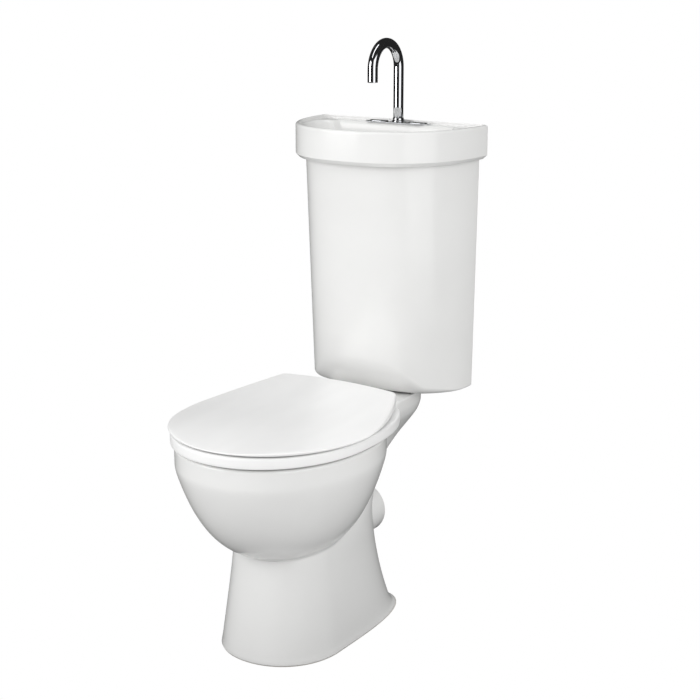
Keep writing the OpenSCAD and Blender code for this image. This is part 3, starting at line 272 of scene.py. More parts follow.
def tube(name, path, radii, steps=48):
    """Closed round tube along a path in a plane of constant x, each ring square to the path. Its points
    sit half a step round from X, so that no tool shares a corner with the skin that it cuts."""
    path = np.asarray(path, float)
    step = np.gradient(path, axis=0)
    along = step / np.linalg.norm(step, axis=1, keepdims=True)
    across = np.cross(along, np.array([1.0, 0, 0]))
    return sweep(name, path, across, radii, (np.arange(steps) + 0.5) / steps * TURN)


def prism(name, outline, x=None, y=None, z=None):
    """Closed prism: a flat outline of (first, second) coordinates carried between two values of the
    third."""
    outline = np.asarray(outline, float)
    turns = ((x, (2, 0, 1)), (y, (1, 2, 0)), (z, (0, 1, 2)))
    (low, high), order = next((span, turn) for span, turn in turns if span is not None)
    level = np.array([low, high], float)[:, None] + 0 * outline[:, 0]
    flat = np.concatenate([np.broadcast_to(outline, (2, len(outline), 2)), level[..., None]], axis=-1)
    middle = outline.mean(axis=0)
    ends = np.array([[*middle, low], [*middle, high]])
    return skin(name, flat[..., order], ends=ends[:, order])


def stadium(x, d, length, width, steps=24):
    """Outline of two half circles, counter-clockwise, a width across and their middles length - width
    apart."""
    t = np.linspace(-math.pi / 2, math.pi / 2, steps)
    right = np.stack([(length - width + width * np.cos(t)) / 2, width / 2 * np.sin(t)], axis=-1)
    return np.concatenate([right, -right]) + np.array([x, at(d)])


def arc(radius, start, end, count):
    """(1 - cos, 1 - sin) of a turn from start to end, times the radius."""
    t = np.radians(np.linspace(start, end, count))
    return radius * (1 - np.cos(t)), radius * (1 - np.sin(t))


def outward(mesh):
    """Turns every face outwards, after doubles are merged."""
    bm = bmesh.new()
    bm.from_mesh(mesh)
    bmesh.ops.remove_doubles(bm, verts=bm.verts, dist=1e-6)
    bmesh.ops.recalc_face_normals(bm, faces=bm.faces)
    bm.to_mesh(mesh)
    bm.free()
    return mesh


def soften(mesh, sharp=35):
    """Smooth shading, split where faces meet at more than the sharp angle in degrees."""
    mesh.polygons.foreach_set("use_smooth", np.ones(len(mesh.polygons), bool))
    mesh.set_sharp_from_angle(angle=math.radians(sharp))
    mesh.update()
    return mesh


def carve(mesh, adds=(), cuts=()):
    """Joins the tool meshes to a mesh, then cuts the others out of it, exactly, and returns the
    outcome."""
    scene = bpy.context.scene.collection
    target = bpy.data.objects.new("carved", mesh)
    scene.objects.link(target)
    tools = []
    for operation, group in (("UNION", adds), ("DIFFERENCE", cuts)):
        for tool in group:
            obj = bpy.data.objects.new("tool", outward(tool))
            scene.objects.link(obj)
            tools.append(obj)
            step = target.modifiers.new("carve", "BOOLEAN")
            step.operation = operation
            step.solver = "EXACT"
            step.object = obj
    graph = bpy.context.evaluated_depsgraph_get()
    out = bpy.data.meshes.new_from_object(target.evaluated_get(graph))
    out.name = mesh.name
    for obj in (target, *tools):
        data = obj.data
        bpy.data.objects.remove(obj)
        bpy.data.meshes.remove(data)
    return out


def place(name, mesh, body, material, nodes=()):
    """Puts a piece in the scene: it rides on a body, takes its material and stands for its CAD nodes."""
    obj = bpy.data.objects.new(name, mesh)
    bpy.context.scene.collection.objects.link(obj)
    mesh.materials.clear()
    mesh.materials.append(material)
    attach(obj, body)
    if nodes:
        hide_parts(*nodes)
    return obj


def eased_copy(node, name, body, material, width, sharp=40):
    """Copy of a CAD node with merged faces and its real edges rounded, which stands for the node."""
    mesh = frame["nodes"][node].data.copy()
    bm = bmesh.new()
    bm.from_mesh(mesh)
    bmesh.ops.remove_doubles(bm, verts=bm.verts, dist=1e-6)
    bmesh.ops.dissolve_limit(bm, angle_limit=math.radians(1), verts=bm.verts, edges=bm.edges)
    bm.to_mesh(mesh)
    bm.free()
    soften(mesh, sharp)
    obj = place(name, mesh, body, material, (node,))
    edge = obj.modifiers.new("eased edges", "BEVEL")
    edge.width = width * MM
    edge.segments = 3
    edge.limit_method = "ANGLE"
    edge.angle_limit = math.radians(sharp)
    edge.harden_normals = True
    return obj


# ---------------------------------------------------------------- shaders


class Value:
    """A number that changes over the surface. Arithmetic on it adds Math nodes."""

    def __init__(self, finish, socket):
        self.finish, self.socket = finish, socket

    def math(self, operation, *values):
        """Outcome of a Math node on the values, or on this one alone."""
        inputs = dict(enumerate(values or (self,)))
        node = self.finish.node("ShaderNodeMath", {"operation": operation}, inputs)
        return Value(self.finish, node.outputs[0])

    def __add__(self, other):
        return self.math("ADD", self, other)

    def __sub__(self, other):
        return self.math("SUBTRACT", self, other)

    def __rsub__(self, other):
        return self.math("SUBTRACT", other, self)

    def __mul__(self, other):
        return self.math("MULTIPLY", self, other)

    __radd__ = __add__
    __rmul__ = __mul__

    def between(self, low, high):
        """0 at low, 1 at high, eased between and flat outside."""
        node = self.finish.node(
            "ShaderNodeMapRange",
            {"interpolation_type": "SMOOTHSTEP"},
            {"Value": self, "From Min": low, "From Max": high},
        )
        return Value(self.finish, node.outputs[0])


class Finish:
    """A material made of nodes, with the few patterns that its surfaces share."""

    def __init__(self, name):
        self.material = bpy.data.materials.new(name)
        self.material.use_nodes = True
        self.tree = self.material.node_tree
        self.tree.nodes.clear()
        self.place = self.node("ShaderNodeTexCoord").outputs["Object"]
        split = self.node("ShaderNodeSeparateXYZ", inputs={0: self.place})
        self.x, self.y, self.z = (Value(self, s) for s in split.outputs)

    def node(self, kind, settings=None, inputs=None):
        """Adds a node, sets its settings first, then the values or links of its sockets."""
        node = self.tree.nodes.new(kind)
        for key, value in (settings or {}).items():
            setattr(node, key, value)
        for key, value in (inputs or {}).items():
            source = getattr(value, "socket", value)
            if isinstance(source, bpy.types.NodeSocket):
                self.tree.links.new(source, node.inputs[key])
            else:
                node.inputs[key].default_value = source
        return node

    def noise(self, scale, detail=3.0, stretch=(1, 1, 1)):
        """Cloudy noise of 0 to 1 on object coordinates, stretched along an axis where its factor is
        small."""
        placed = self.node("ShaderNodeMapping", inputs={"Vector": self.place, "Scale": stretch}).outputs[0]
        node = self.node("ShaderNodeTexNoise", inputs={"Vector": placed, "Scale": scale, "Detail": detail})
        return Value(self, node.outputs[0])

    def waves(self, direction, scale):
        """Even bands of 0 to 1 across an axis, 2 pi / 20 / scale metres apart."""
        settings, inputs = {"bands_direction": direction}, {"Vector": self.place, "Scale": scale}
        return Value(self, self.node("ShaderNodeTexWave", settings, inputs).outputs["Fac"])

    def specks(self, scale, size):
        """1 in small round specks scattered over the surface, 0 between them."""
        node = self.node("ShaderNodeTexVoronoi", inputs={"Vector": self.place, "Scale": scale})
        return 1 - Value(self, node.outputs["Distance"]).between(size * 0.6, size)

    def mix(self, share, a, b):
        """Colour a where share is 0 and b where it is 1."""
        a, b = ((*c, 1) if isinstance(c, tuple) else c for c in (a, b))
        return self.node("ShaderNodeMix", {"data_type": "RGBA"}, {0: share, 6: a, 7: b}).outputs[2]

    def bump(self, height, strength, distance, under=None):
        """Normal that a height gives, on top of another normal."""
        inputs = {"Height": height, "Strength": strength, "Distance": distance}
        if under is not None:
            inputs["Normal"] = under
        return self.node("ShaderNodeBump", inputs=inputs).outputs[0]

    def surface(self, inputs):
        """Ends the material on a Principled shader."""
        shader = self.node("ShaderNodeBsdfPrincipled", inputs=inputs)
        self.node("ShaderNodeOutputMaterial", inputs={"Surface": shader.outputs[0]})
        return self.material


def shade(colour, share):
    """A colour times a number."""
    return tuple(c * share for c in colour)


def glaze_finish(looks):
    """White glaze: faint clouding, a slow waviness in its gloss, pinholes, and bare fired clay under the
    foot."""
    f = Finish("white glaze")
    cloud = f.noise(7, 4)
    wave = f.noise(9, 2)
    fine = f.noise(160, 2)
    pin = f.specks(95, 0.035)
    bare = 1 - f.z.between(0.0006, 0.0022)
    white = tuple(looks.glaze_colour)
    colour = f.mix(cloud.between(0.3, 0.75), white, shade(white, 0.975))
    colour = f.mix(pin * 0.12, colour, (0.62, 0.6, 0.56))
    colour = f.mix(bare, colour, (0.72, 0.67, 0.58))
    normal = f.bump(wave, 0.5, looks.glaze_wave * 0.4)
    normal = f.bump(fine, 0.06, 0.0002, normal)
    return f.surface(
        {
            "Base Color": colour,
            "Roughness": cloud * 0.05 + looks.glaze_roughness + bare * 0.6,
            "IOR": 1.52,
            "Coat Weight": 0.3 - bare * 0.3,
            "Coat Roughness": 0.12,
            "Coat IOR": 1.5,
            "Normal": normal,
        }
    )


def plastic_finish(name, colour, roughness, grain=0.05, coat=0.0):
    """Moulded plastic: faint flow marks, a fine grain and a slightly uneven gloss."""
    f = Finish(name)
    flow = f.noise(12, 3, (1, 0.35, 1))
    fine = f.noise(420, 2)
    tone = f.mix(flow.between(0.35, 0.7), colour, shade(colour, 0.965))
    normal = f.bump(f.noise(22, 2), 0.25, 0.0004)
    return f.surface(
        {
            "Base Color": tone,
            "Roughness": flow * 0.06 + roughness,
            "IOR": 1.49,
            "Coat Weight": coat,
            "Coat Roughness": 0.06,
            "Normal": f.bump(fine, grain, 0.0002, normal),
        }
    )


def chrome_finish(looks):
    """Polished chrome plate with faint wiped smears and dried water marks."""
    f = Finish("polished chrome")
    smear = f.noise(26, 4, (1, 1, 0.25))
    mark = f.specks(210, 0.22) * f.noise(60, 2).between(0.5, 0.7)
    clean = tuple(looks.chrome_colour)
    colour = f.mix(smear.between(0.35, 0.8), clean, shade(clean, 0.93))
    return f.surface(
        {
            "Base Color": colour,
            "Metallic": 1.0,
            "Roughness": smear * 0.04 + mark * 0.03 + looks.chrome_roughness,
            "Normal": f.bump(f.noise(40, 2), 0.04, 0.0001),
        }
    )


def steel_finish(pitch=0.00125):
    """Zinc-plated steel with rolled threads across Z and a streaky sheen."""
    f = Finish("plated steel")
    streak = f.noise(180, 3, (1, 1, 0.1))
    thread = f.waves("Z", TURN / 20 / pitch)
    colour = f.mix(streak.between(0.3, 0.8), (0.56, 0.57, 0.6), (0.43, 0.44, 0.46))
    return f.surface(
        {
            "Base Color": colour,
            "Metallic": 1.0,
            "Roughness": streak * 0.2 + 0.24,
            "Normal": f.bump(thread, 0.35, 0.0003),
        }
    )


def rubber_finish():
    """Black moulded rubber, matte, with a greyish bloom and a fine grain."""
    f = Finish("black rubber")
    bloom = f.noise(38, 4)
    colour = f.mix(bloom.between(0.45, 0.8), (0.018, 0.018, 0.02), (0.05, 0.05, 0.052))
    return f.surface(
        {
            "Base Color": colour,
            "Roughness": bloom * 0.2 + 0.55,
            "Normal": f.bump(f.noise(520, 2), 0.3, 0.0003),
        }
    )


def hose_finish():
    """Ribbed grey hose: rings across its run, with painted shade in the grooves between them, and a dull
    surface.
    """
    f = Finish("ribbed hose")
    ribs = f.waves("X", 90.0)
    # Painted shade: the colour follows the rib height, darker in the grooves and lighter on the crests.
    colour = f.mix(ribs, (0.36, 0.38, 0.4), (0.5, 0.52, 0.54))
    normal = f.bump(ribs, 0.5, 0.0006)
    return f.surface({"Base Color": colour, "Roughness": f.noise(40) * 0.2 + 0.4, "Normal": normal})


def floor_finish(colour):
    """Matte floor with a barely visible mottling, and painted shade that makes it darker under the pan, which
    the camera sees as plain white."""
    f = Finish("pale floor")
    cloud = f.noise(1.5, 3)
    # Painted shade: near the pan the floor's colour falls to 0.15 of itself. It stands in for the shade round
    # the pan's foot and darkens the light that the floor casts up onto the pedestal.
    far = (f.x * f.x + f.y * f.y).math("SQRT").between(0.2, 0.75)
    lit = {
        "Base Color": f.mix(far, shade(colour, 0.15), f.mix(cloud, colour, shade(colour, 0.97))),
        "Roughness": cloud * 0.1 + 0.6,
        "Normal": f.bump(f.noise(60, 2), 0.05, 0.001),
        "Specular IOR Level": 0.2,
    }
    matte = f.node("ShaderNodeBsdfPrincipled", inputs=lit)
    white = f.node("ShaderNodeEmission", inputs={"Color": (1, 1, 1, 1), "Strength": 1.0})
    seen = f.node("ShaderNodeLightPath").outputs["Is Camera Ray"]
    both = f.node("ShaderNodeMixShader", inputs={0: seen, 1: matte.outputs[0], 2: white.outputs[0]})
    f.node("ShaderNodeOutputMaterial", inputs={"Surface": both.outputs[0]})
    return f.material


FINISHES = {}


def finish(name):
    """The material of that name, made once."""
    looks = bpy.context.scene.toilet_looks
    seat_colour = tuple(looks.seat_colour)
    makers = {
        "glaze": lambda: glaze_finish(looks),
        "seat plastic": lambda: plastic_finish("seat plastic", seat_colour, looks.seat_roughness, coat=0.08),
        "white plastic": lambda: plastic_finish("white plastic", (0.8, 0.8, 0.79), 0.32, 0.12),
        "valve plastic": lambda: plastic_finish("valve plastic", (0.62, 0.66, 0.7), 0.4, 0.15),
        "blue plastic": lambda: plastic_finish("blue plastic", (0.06, 0.15, 0.38), 0.36, 0.15),
        "chrome": lambda: chrome_finish(looks),
        "steel": steel_finish,
        "rubber": rubber_finish,
        "hose": hose_finish,
    }
    if name not in FINISHES:
        FINISHES[name] = makers[name]()
    return FINISHES[name]


# ---------------------------------------------------------------- pan

# Pedestal, trap housing, spine and deck: height, half width, wall to front, wall to back, and the exponent of
# the rear outline
BODY_ROWS = [
    (0, FOOT_HALF, FOOT_FRONT, FOOT_REAR, 3.4),
    (4, FOOT_HALF - 0.8, FOOT_FRONT - 0.3, FOOT_REAR + 9, 3.4),
    (8, FOOT_HALF - 1.5, FOOT_FRONT - 0.6, FOOT_REAR + 17, 3.3),
    (15, FOOT_HALF - 3, FOOT_FRONT - 2, FOOT_REAR + 23, 3.3),
    (22, FOOT_HALF - 4, FOOT_FRONT - 3, FOOT_REAR + 26, 3.2),
    (30, FOOT_HALF - 5, FOOT_FRONT - 4.5, FOOT_REAR + 27.5, 3.1),
    (55, FOOT_HALF - 8, FOOT_FRONT - 9, FOOT_REAR + 34, 2.9),
    (100, FOOT_HALF - 14, FOOT_FRONT - 16, FOOT_REAR + 44, 2.7),
    (CREASE_Z - 26, FOOT_HALF - 21, FOOT_FRONT - 26, FOOT_REAR + 54, 2.6),
    (CREASE_Z, FOOT_HALF - 22, FOOT_FRONT - 30, FOOT_REAR + 55, 2.6),
    (222, FOOT_HALF - 26, FOOT_FRONT - 38, FOOT_REAR + 60, 2.6),
    (DECK_Z - 168, FOOT_HALF - 48, FOOT_FRONT - 60, DECK_REAR + 128, 4),
    (DECK_Z - 135, DECK_HALF - 46, FOOT_FRONT - 100, DECK_REAR + 90, 6),
    (DECK_Z - 110, DECK_HALF - 41, FOOT_FRONT - 120, DECK_REAR + 60, 6),
    (DECK_Z - 87, DECK_HALF - 35, FOOT_FRONT - 120, DECK_REAR + 33, 7),
    (DECK_Z - 70, DECK_HALF - 26, FOOT_FRONT - 120, DECK_REAR + 18, 8),
    (DECK_Z - 50, DECK_HALF - 12, FOOT_FRONT - 120, DECK_REAR + 7, 8),
    (DECK_Z - 40, DECK_HALF - 6, FOOT_FRONT - 120, DECK_REAR + 4, 8),
    (DECK_Z - 30, DECK_HALF - 2.5, FOOT_FRONT - 120, DECK_REAR + 2, 8),
    (DECK_Z - 20, DECK_HALF, FOOT_FRONT - 120, DECK_REAR, 8),
    (DECK_Z, DECK_HALF, FOOT_FRONT - 120, DECK_REAR, 8),
]
BODY_TABLE = spline(BODY_ROWS, 500)

# Inside of the bowl: height, half width, wall to front, wall to back
NOSE = DEPTH - RIM_INSET
INNER_ROWS = [
    (RIM_Z - RIM_EDGE, OPENING_HALF, NOSE - RIM_LAND, 300),
    (RIM_Z - 22, OPENING_HALF, NOSE - RIM_LAND, 300),
    (RIM_Z - 38, OPENING_HALF, NOSE - RIM_LAND, 300),
    (RIM_Z - 44, BOWL_HALF - 34, NOSE - 24, 288),
    (RIM_Z - 75, BOWL_HALF - 33, NOSE - 26, 290),
    (RIM_Z - 115, BOWL_HALF - 38, NOSE - 34, 300),
    (RIM_Z - 155, BOWL_HALF - 56, NOSE - 60, 314),
    (RIM_Z - 185, BOWL_HALF - 80, NOSE - 92, 324),
    (RIM_Z - 205, BOWL_HALF - 102, NOSE - 124, 331),
    (RIM_Z - 222, BOWL_HALF - 126, NOSE - 160, 337),
    (RIM_Z - 232, BOWL_HALF - 144, NOSE - 200, 344),
]

# Trapway as wall distance and height: from the bowl's floor down to its sump, over the weir and out, and the
# radius of each turn. Its pipe starts where it first dips under PIPE_TOP and ends PIPE_SHORT steps early
TRAP_POINTS = [(396.5, 221), (345, 112), (262, 228), (205, OUTLET_Z), (180, OUTLET_Z)]
TRAP_BENDS = [50, 50, 55]
PIPE_TOP, PIPE_SHORT = 172, 11

# Spaces for the nuts of the coupling and seat bolts: wall to front, wall to back, ceiling, and how far the
# space draws in, so that the two share no face
SPACE_LEVELS = np.array([DECK_Z - 92, DECK_Z - 87, DECK_Z - 70, DECK_Z - 50, DECK_Z - 40, DECK_Z - 30])
NUT_SPACES = [
    (DECK_FRONT - 4, DECK_REAR + DECK_BACK, DECK_Z - 20, 0),
    (228, 150, RIM_Z - 12, 0.03),
]


def body_at(z, column):
    """Column of the pedestal's splined rows at height z."""
    return np.interp(z, BODY_TABLE[:, 0], BODY_TABLE[:, column])


def pan_rays(z):
    """Directions of the pan's outline at each height, crowded at that height's rear corner."""
    return rays(np.arctan2(BOWL_D - body_at(z, 3), body_at(z, 1)))


def pan_radius(a, z):
    """Whichever reaches further: the bowl, whose plan shrinks as (1 - u^1.2)^(1/3.2) with its share of
    depth u, eased in under the rim, or the pedestal and deck."""
    u = np.maximum(UPRIGHT_Z - z, 0) / BOWL_DEEP
    u = u * (1 - np.exp(-u / BOWL_EASE))
    k = np.maximum(1 - u**1.2, 0.001) ** (1 / 3.2)
    bowl = egg(a, k * BOWL_HALF, k * (NOSE - BOWL_D), k * (BOWL_D - BOWL_REAR_D), 2.12, 2)
    body = egg(a, body_at(z, 1), body_at(z, 2) - BOWL_D, BOWL_D - body_at(z, 3), 2.1, body_at(z, 4))
    return soft_max(bowl, body, CREASE_BLEND)


def pan_rings(z, inset):
    """The pan's outline at heights z, drawn in by inset."""
    z = np.atleast_1d(np.asarray(z, float))
    inset = np.broadcast_to(np.asarray(inset, float), z.shape)[:, None]
    a = pan_rays(z)
    return polar(a, pan_radius(a, z[:, None]) - inset, BOWL_D, z[:, None])


def rim_rings(edge):
    """Rounded rim, the step to the deck, the flat rim and the rounded edge of the opening, on the rays of
    the rim."""
    a = pan_rays(np.array([RIM_Z]))
    reach = pan_radius(a, float(RIM_Z))
    step_y, step_in = BOWL_D - DECK_FRONT, 8
    top = RIM_Z + (DECK_Z - RIM_Z) * smooth((reach * np.sin(a) - step_y + step_in) / 20)
    inset, drop = arc(edge, 0, 90, 9)
    outer = polar(a, reach - inset[:, None], BOWL_D, top - drop[:, None])
    k = np.linspace(0, 1, 12)[:, None]
    line = np.where(np.sin(a) > 0.1, (step_y - step_in * k) / np.maximum(np.sin(a), 0.1), 1e4)
    step = polar(a, np.minimum(reach - edge - RIM_FLAT - k, line), BOWL_D, top + (RIM_Z - top) * smooth(k))
    grow = arc(edge, 90, 0, 9)[0]
    mouth = [inner_rings(INNER_ROWS[:1], a, edge + RIM_FLAT, RIM_Z)]
    mouth += [inner_rings(INNER_ROWS[:1], a, g, RIM_Z - fall) for g, fall in zip(grow, edge - drop)]
    return outer, step, np.concatenate(mouth), a


def inner_rings(rows, a, grow=0.0, z=None):
    """Superellipses of the bowl's inside on the directions a, round the middle of each row."""
    rows = np.asarray(rows, float)
    height, half, front, back = (rows[:, i : i + 1] for i in range(4))
    length = (front - back) / 2 + grow
    r = egg(a, half + grow, length, length, 2.2, 2.2)
    height = height if z is None else np.full_like(height, z)
    return np.stack([r * np.cos(a), at((front + back) / 2) + r * np.sin(a), height + 0 * r], axis=-1)


def pan_skin(edge):
    """Hollow foot, outside, rim with the step to the deck, and the inside of the bowl, in one skin."""
    round_in, round_z = arc(FOOT_EDGE_IN, 90, 0, 5)[1], arc(FOOT_EDGE_UP, 0, 90, 5)[0]
    outer, step, mouth, a = rim_rings(edge)
    foot = np.concatenate([np.linspace(3.5, 40, 20), np.linspace(43, CREASE_Z, 40)])
    bowl = CREASE_Z + (RIM_Z - edge - 0.6 - CREASE_Z) * np.linspace(0, 1, 92)[1:] ** 1.1
    rings = np.concatenate(
        [
            pan_rings([HOLLOW_Z, 120, 80, 40, 12, 0], FOOT_WALL),
            pan_rings(round_z, FOOT_EDGE_IN - round_in),
            pan_rings(foot, 0),
            pan_rings(bowl, 0),
            outer,
            step,
            mouth,
            inner_rings(spline(INNER_ROWS, 60)[1:], a),
        ]
    )
    return skin("pan", rings, ends=[[0, at(BOWL_D - 40), HOLLOW_Z], [0, at(BOWL_LOW_D), BOWL_LOW_Z]])


def trapway():
    """Pipe of the trapway and its bore, along one bent path."""
    path = bent(TRAP_POINTS, TRAP_BENDS)
    route = np.stack([0 * path[:, 0], at(path[:, 0]), path[:, 1]], axis=-1)
    outside = route[np.argmax(route[:, 2] < PIPE_TOP) : -PIPE_SHORT]
    pipe = tube("trap pipe", outside, np.full(len(outside), TRAP_R + TRAP_WALL))
    return pipe, tube("trap bore", route, np.full(len(route), float(TRAP_R)))


def outlet_spigot():
    """Outlet with a shoulder at its root and a rounded lip, and its bore. Their step counts differ, so
    that no two corners meet."""
    end = at(OUTLET_D)
    root = end - SPIGOT_FREE
    lip, back = arc(SPIGOT_LIP, 0, 90, 5)
    profile = [(OUTLET_R + 1, end - 76), (OUTLET_R + 1, root - 0.5)]
    profile += [(OUTLET_R + 0.6, root), (OUTLET_R, root + 0.3)]
    profile += [(OUTLET_R - SPIGOT_LIP + r, end - b) for r, b in zip(SPIGOT_LIP - lip, back)]
    spigot = tube("spigot", [(0, y, OUTLET_Z) for _, y in profile], [r for r, _ in profile], 96)
    return spigot, rod("spigot bore", (0, end - 66, OUTLET_Z), (0, end + 5, OUTLET_Z), OUTLET_BORE_R, 97)


def deck_spaces(side):
    """Spaces under one side of the deck for the nuts of its bolts, and the window in the wall behind
    them."""
    tools = []
    for front, back, ceiling, inset in NUT_SPACES:
        z = np.append(SPACE_LEVELS, ceiling)
        spine_x, wall_x = side * (SPINE_HALF + inset), side * (body_at(z, 1) - DECK_WALL - inset)
        outline = [(z[0] + inset, spine_x), *zip(z + inset, wall_x), (ceiling, spine_x)]
        tools.append(prism("nut space", outline, y=(at(front), at(back))))
    low, high = WINDOW_Z, WINDOW_Z + WINDOW_H
    left, right = side * WINDOW_X - WINDOW_HALF, side * WINDOW_X + WINDOW_HALF
    window = [(low, left), (low, right), (high, right), (high, left)]
    tools.append(prism("window", window, y=(at(DECK_REAR + DECK_BACK + OVER), at(DECK_REAR - OVER))))
    return tools


def flush_tools():
    """Flush bore down from the deck, with the seal's seat at its top and a round floor, and the way on to
    the bowl."""
    turn = np.radians(np.linspace(4, 90, 10))
    z = [*(FLUSH_Z - FLUSH_R * np.cos(turn)), SEAL_SEAT_Z, SEAL_SEAT_Z + 0.01, DECK_Z + 1]
    radii = [*(FLUSH_R * np.sin(turn)), FLUSH_R, SEAL_SEAT_R, SEAL_SEAT_R]
    bore = tube("flush bore", [(0, at(FLUSH_D), level) for level in z], radii, 60)
    return [bore, rod("flushway", (0, at(FLUSH_D), FLUSH_Z), (0, at(302), RIM_Z - 62), FLUSHWAY_R, 47)]


def bolt_holes():
    """Upright holes for the seat bolts and the coupling bolts, down into the spaces for their nuts."""
    rows = ((HINGE_SPAN / 2, SEAT_BOLT_D, RIM_Z - 13), (COUPLING_X, FLUSH_D, DECK_Z - 21))
    places = [(side * x, at(d), low) for side in (-1, 1) for x, d, low in rows]
    return [rod("bolt hole", (x, y, low), (x, y, DECK_Z + 1), BOLT_HOLE_R, 40) for x, y, low in places]


def pan_mesh(edge):
    """The pan's skin with the trapway's pipe and the outlet joined on, and their bores, the spaces under
    the deck, the flush bore and the bolt holes cut out."""
    pipe, bore = trapway()
    spigot, spigot_bore = outlet_spigot()
    cuts = [bore, spigot_bore, *deck_spaces(-1), *deck_spaces(1), *flush_tools(), *bolt_holes()]
    return soften(carve(pan_skin(edge), [pipe, spigot], cuts))


# ---------------------------------------------------------------- cistern and basin


def cistern_size(z):
    """Half width and depth of the cistern at a height: both grow evenly from foot to head."""
    share = (z - CISTERN_Z) / (CISTERN_TOP - CISTERN_Z)
    return (a + (b - a) * share for a, b in zip(CISTERN_FOOT, CISTERN_HEAD))


def cistern_rings(z, inset):
    """The cistern's outline at heights z, drawn in by inset."""
    z = np.atleast_1d(np.asarray(z, float))
    inset = np.atleast_1d(np.asarray(inset, float)) + 0 * z
    half, depth = cistern_size(z)
    return lay(dee(half - inset, depth - inset, inset, CORNER_R), z)


def foot_rings(turn, wall=0, lift=0):
    """Sweep of the cistern's foot: each outline point moves in by i (1 - sin a) and up by u (1 - cos a),
    where i and u grow with its distance from the wall."""
    a = np.radians(np.asarray(turn, float))[:, None]
    outline = dee(CISTERN_FOOT[0] - wall, CISTERN_FOOT[1] - wall, wall, CORNER_R)[0]
    d = WALL_Y - outline[:, 1]
    step = np.roll(outline, -1, axis=0) - np.roll(outline, 1, axis=0)
    along = step / np.linalg.norm(step, axis=1, keepdims=True)
    least_in, least_up = 3, 4
    sweep_in = least_in + 0.44 * soft_max(d - 55, 0, 20)
    sweep_up = least_up + 0.5 * (sweep_in - least_in) + 45 * smooth((d - 130) / 50)
    inwards = sweep_in * (1 - np.sin(a))
    z = CISTERN_Z + lift + sweep_up * (1 - np.cos(a))
    half, depth = cistern_size(z)
    x = (outline[:, 0] - along[:, 1] * inwards) * half / CISTERN_FOOT[0]
    y = at((d - along[:, 0] * inwards) * depth / CISTERN_FOOT[1])
    return np.stack([x, y, z], axis=-1)


def cistern_mesh():
    """Outside with its swept foot, rounded top edge under the basin, and the inside, with the screw holes
    cut in the back and the holes for the flush valve, the coupling bolts and the inlet cut in the
    floor."""
    inset, drop = arc(2, 0, 90, 4)
    rings = np.concatenate(
        [
            foot_rings(np.linspace(0, 90, 28)),
            cistern_rings(np.linspace(FOOT_TOP, CISTERN_TOP - 3, 24), 0),
            cistern_rings(CISTERN_TOP - drop, inset),
            cistern_rings(CISTERN_TOP, CISTERN_WALL - 1),
            cistern_rings([CISTERN_TOP - 2, 700, CISTERN_Z + 120], CISTERN_WALL),
            foot_rings(np.linspace(90, 0, 10), CISTERN_WALL, CISTERN_FLOOR),
        ]
    )
    middle = at(CISTERN_MID_D)
    mesh = skin("cistern", rings, ends=[[0, middle, CISTERN_Z], [0, middle, CISTERN_Z + CISTERN_FLOOR]])
    front, back = at(CISTERN_WALL + OVER), at(-OVER)
    screws = (-SCREW_X, SCREW_X)
    holes = [rod("hole", (x, back, SCREW_Z), (x, front, SCREW_Z), SCREW_HOLE_R, 40) for x in screws]
    bolts = [(x, FLUSH_D, BOLT_HOLE_R) for x in (-COUPLING_X, COUPLING_X)]
    for x, d, radius in [(0, FLUSH_D, FLUSH_HOLE_R), *bolts, (INLET_X, INLET_D, INLET_HOLE_R)]:
        low, high = (x, at(d), CISTERN_Z - 1), (x, at(d), CISTERN_Z + CISTERN_FLOOR + 1)
        holes.append(rod("floor hole", low, high, radius, 64))
    return soften(carve(mesh, cuts=holes))


def basin_outside(z, inset):
    """The basin's outline at heights z, drawn in by inset, and along the wall by up to the width of its
    rear rim."""
    inset = np.atleast_1d(np.asarray(inset, float))
    rear = BACK_RIM * (1 - np.exp(-inset / 3))
    return lay(dee(BASIN_HALF - inset, BASIN_D - inset, rear, CORNER_R, steps=220), z)


def basin_inside(share, z):
    """The outline of the bowl drawn in towards its middle by each share, at heights z, with its points in
    the directions of the rim's."""
    share = np.atleast_1d(np.asarray(share, float))[:, None, None]
    centre = np.array([0, at(BASIN_MID_D)])
    outline = dee(BASIN_HALF - SIDE_RIM, BASIN_D - BASIN_RIM, LEDGE_D, 30, 2, 2)[0] - centre
    rim = basin_outside(0, LEDGE_IN)[0, :, :2] - centre
    known, wanted = (np.arctan2(p[:, 1], p[:, 0]) for p in (outline, rim))
    radius = np.interp(wanted, known, np.linalg.norm(outline, axis=1), period=TURN)
    outline = radius[:, None] * np.stack([np.cos(wanted), np.sin(wanted)], axis=-1)
    return lay(centre + outline * share, z)


def basin_rise(share):
    """Height of the bowl's inside, which rises as the fourth power of the share from a flat round the
    waste."""
    return BASIN_FLOOR + BASIN_DEEP * np.where(share > 0.31, share**4, 0)


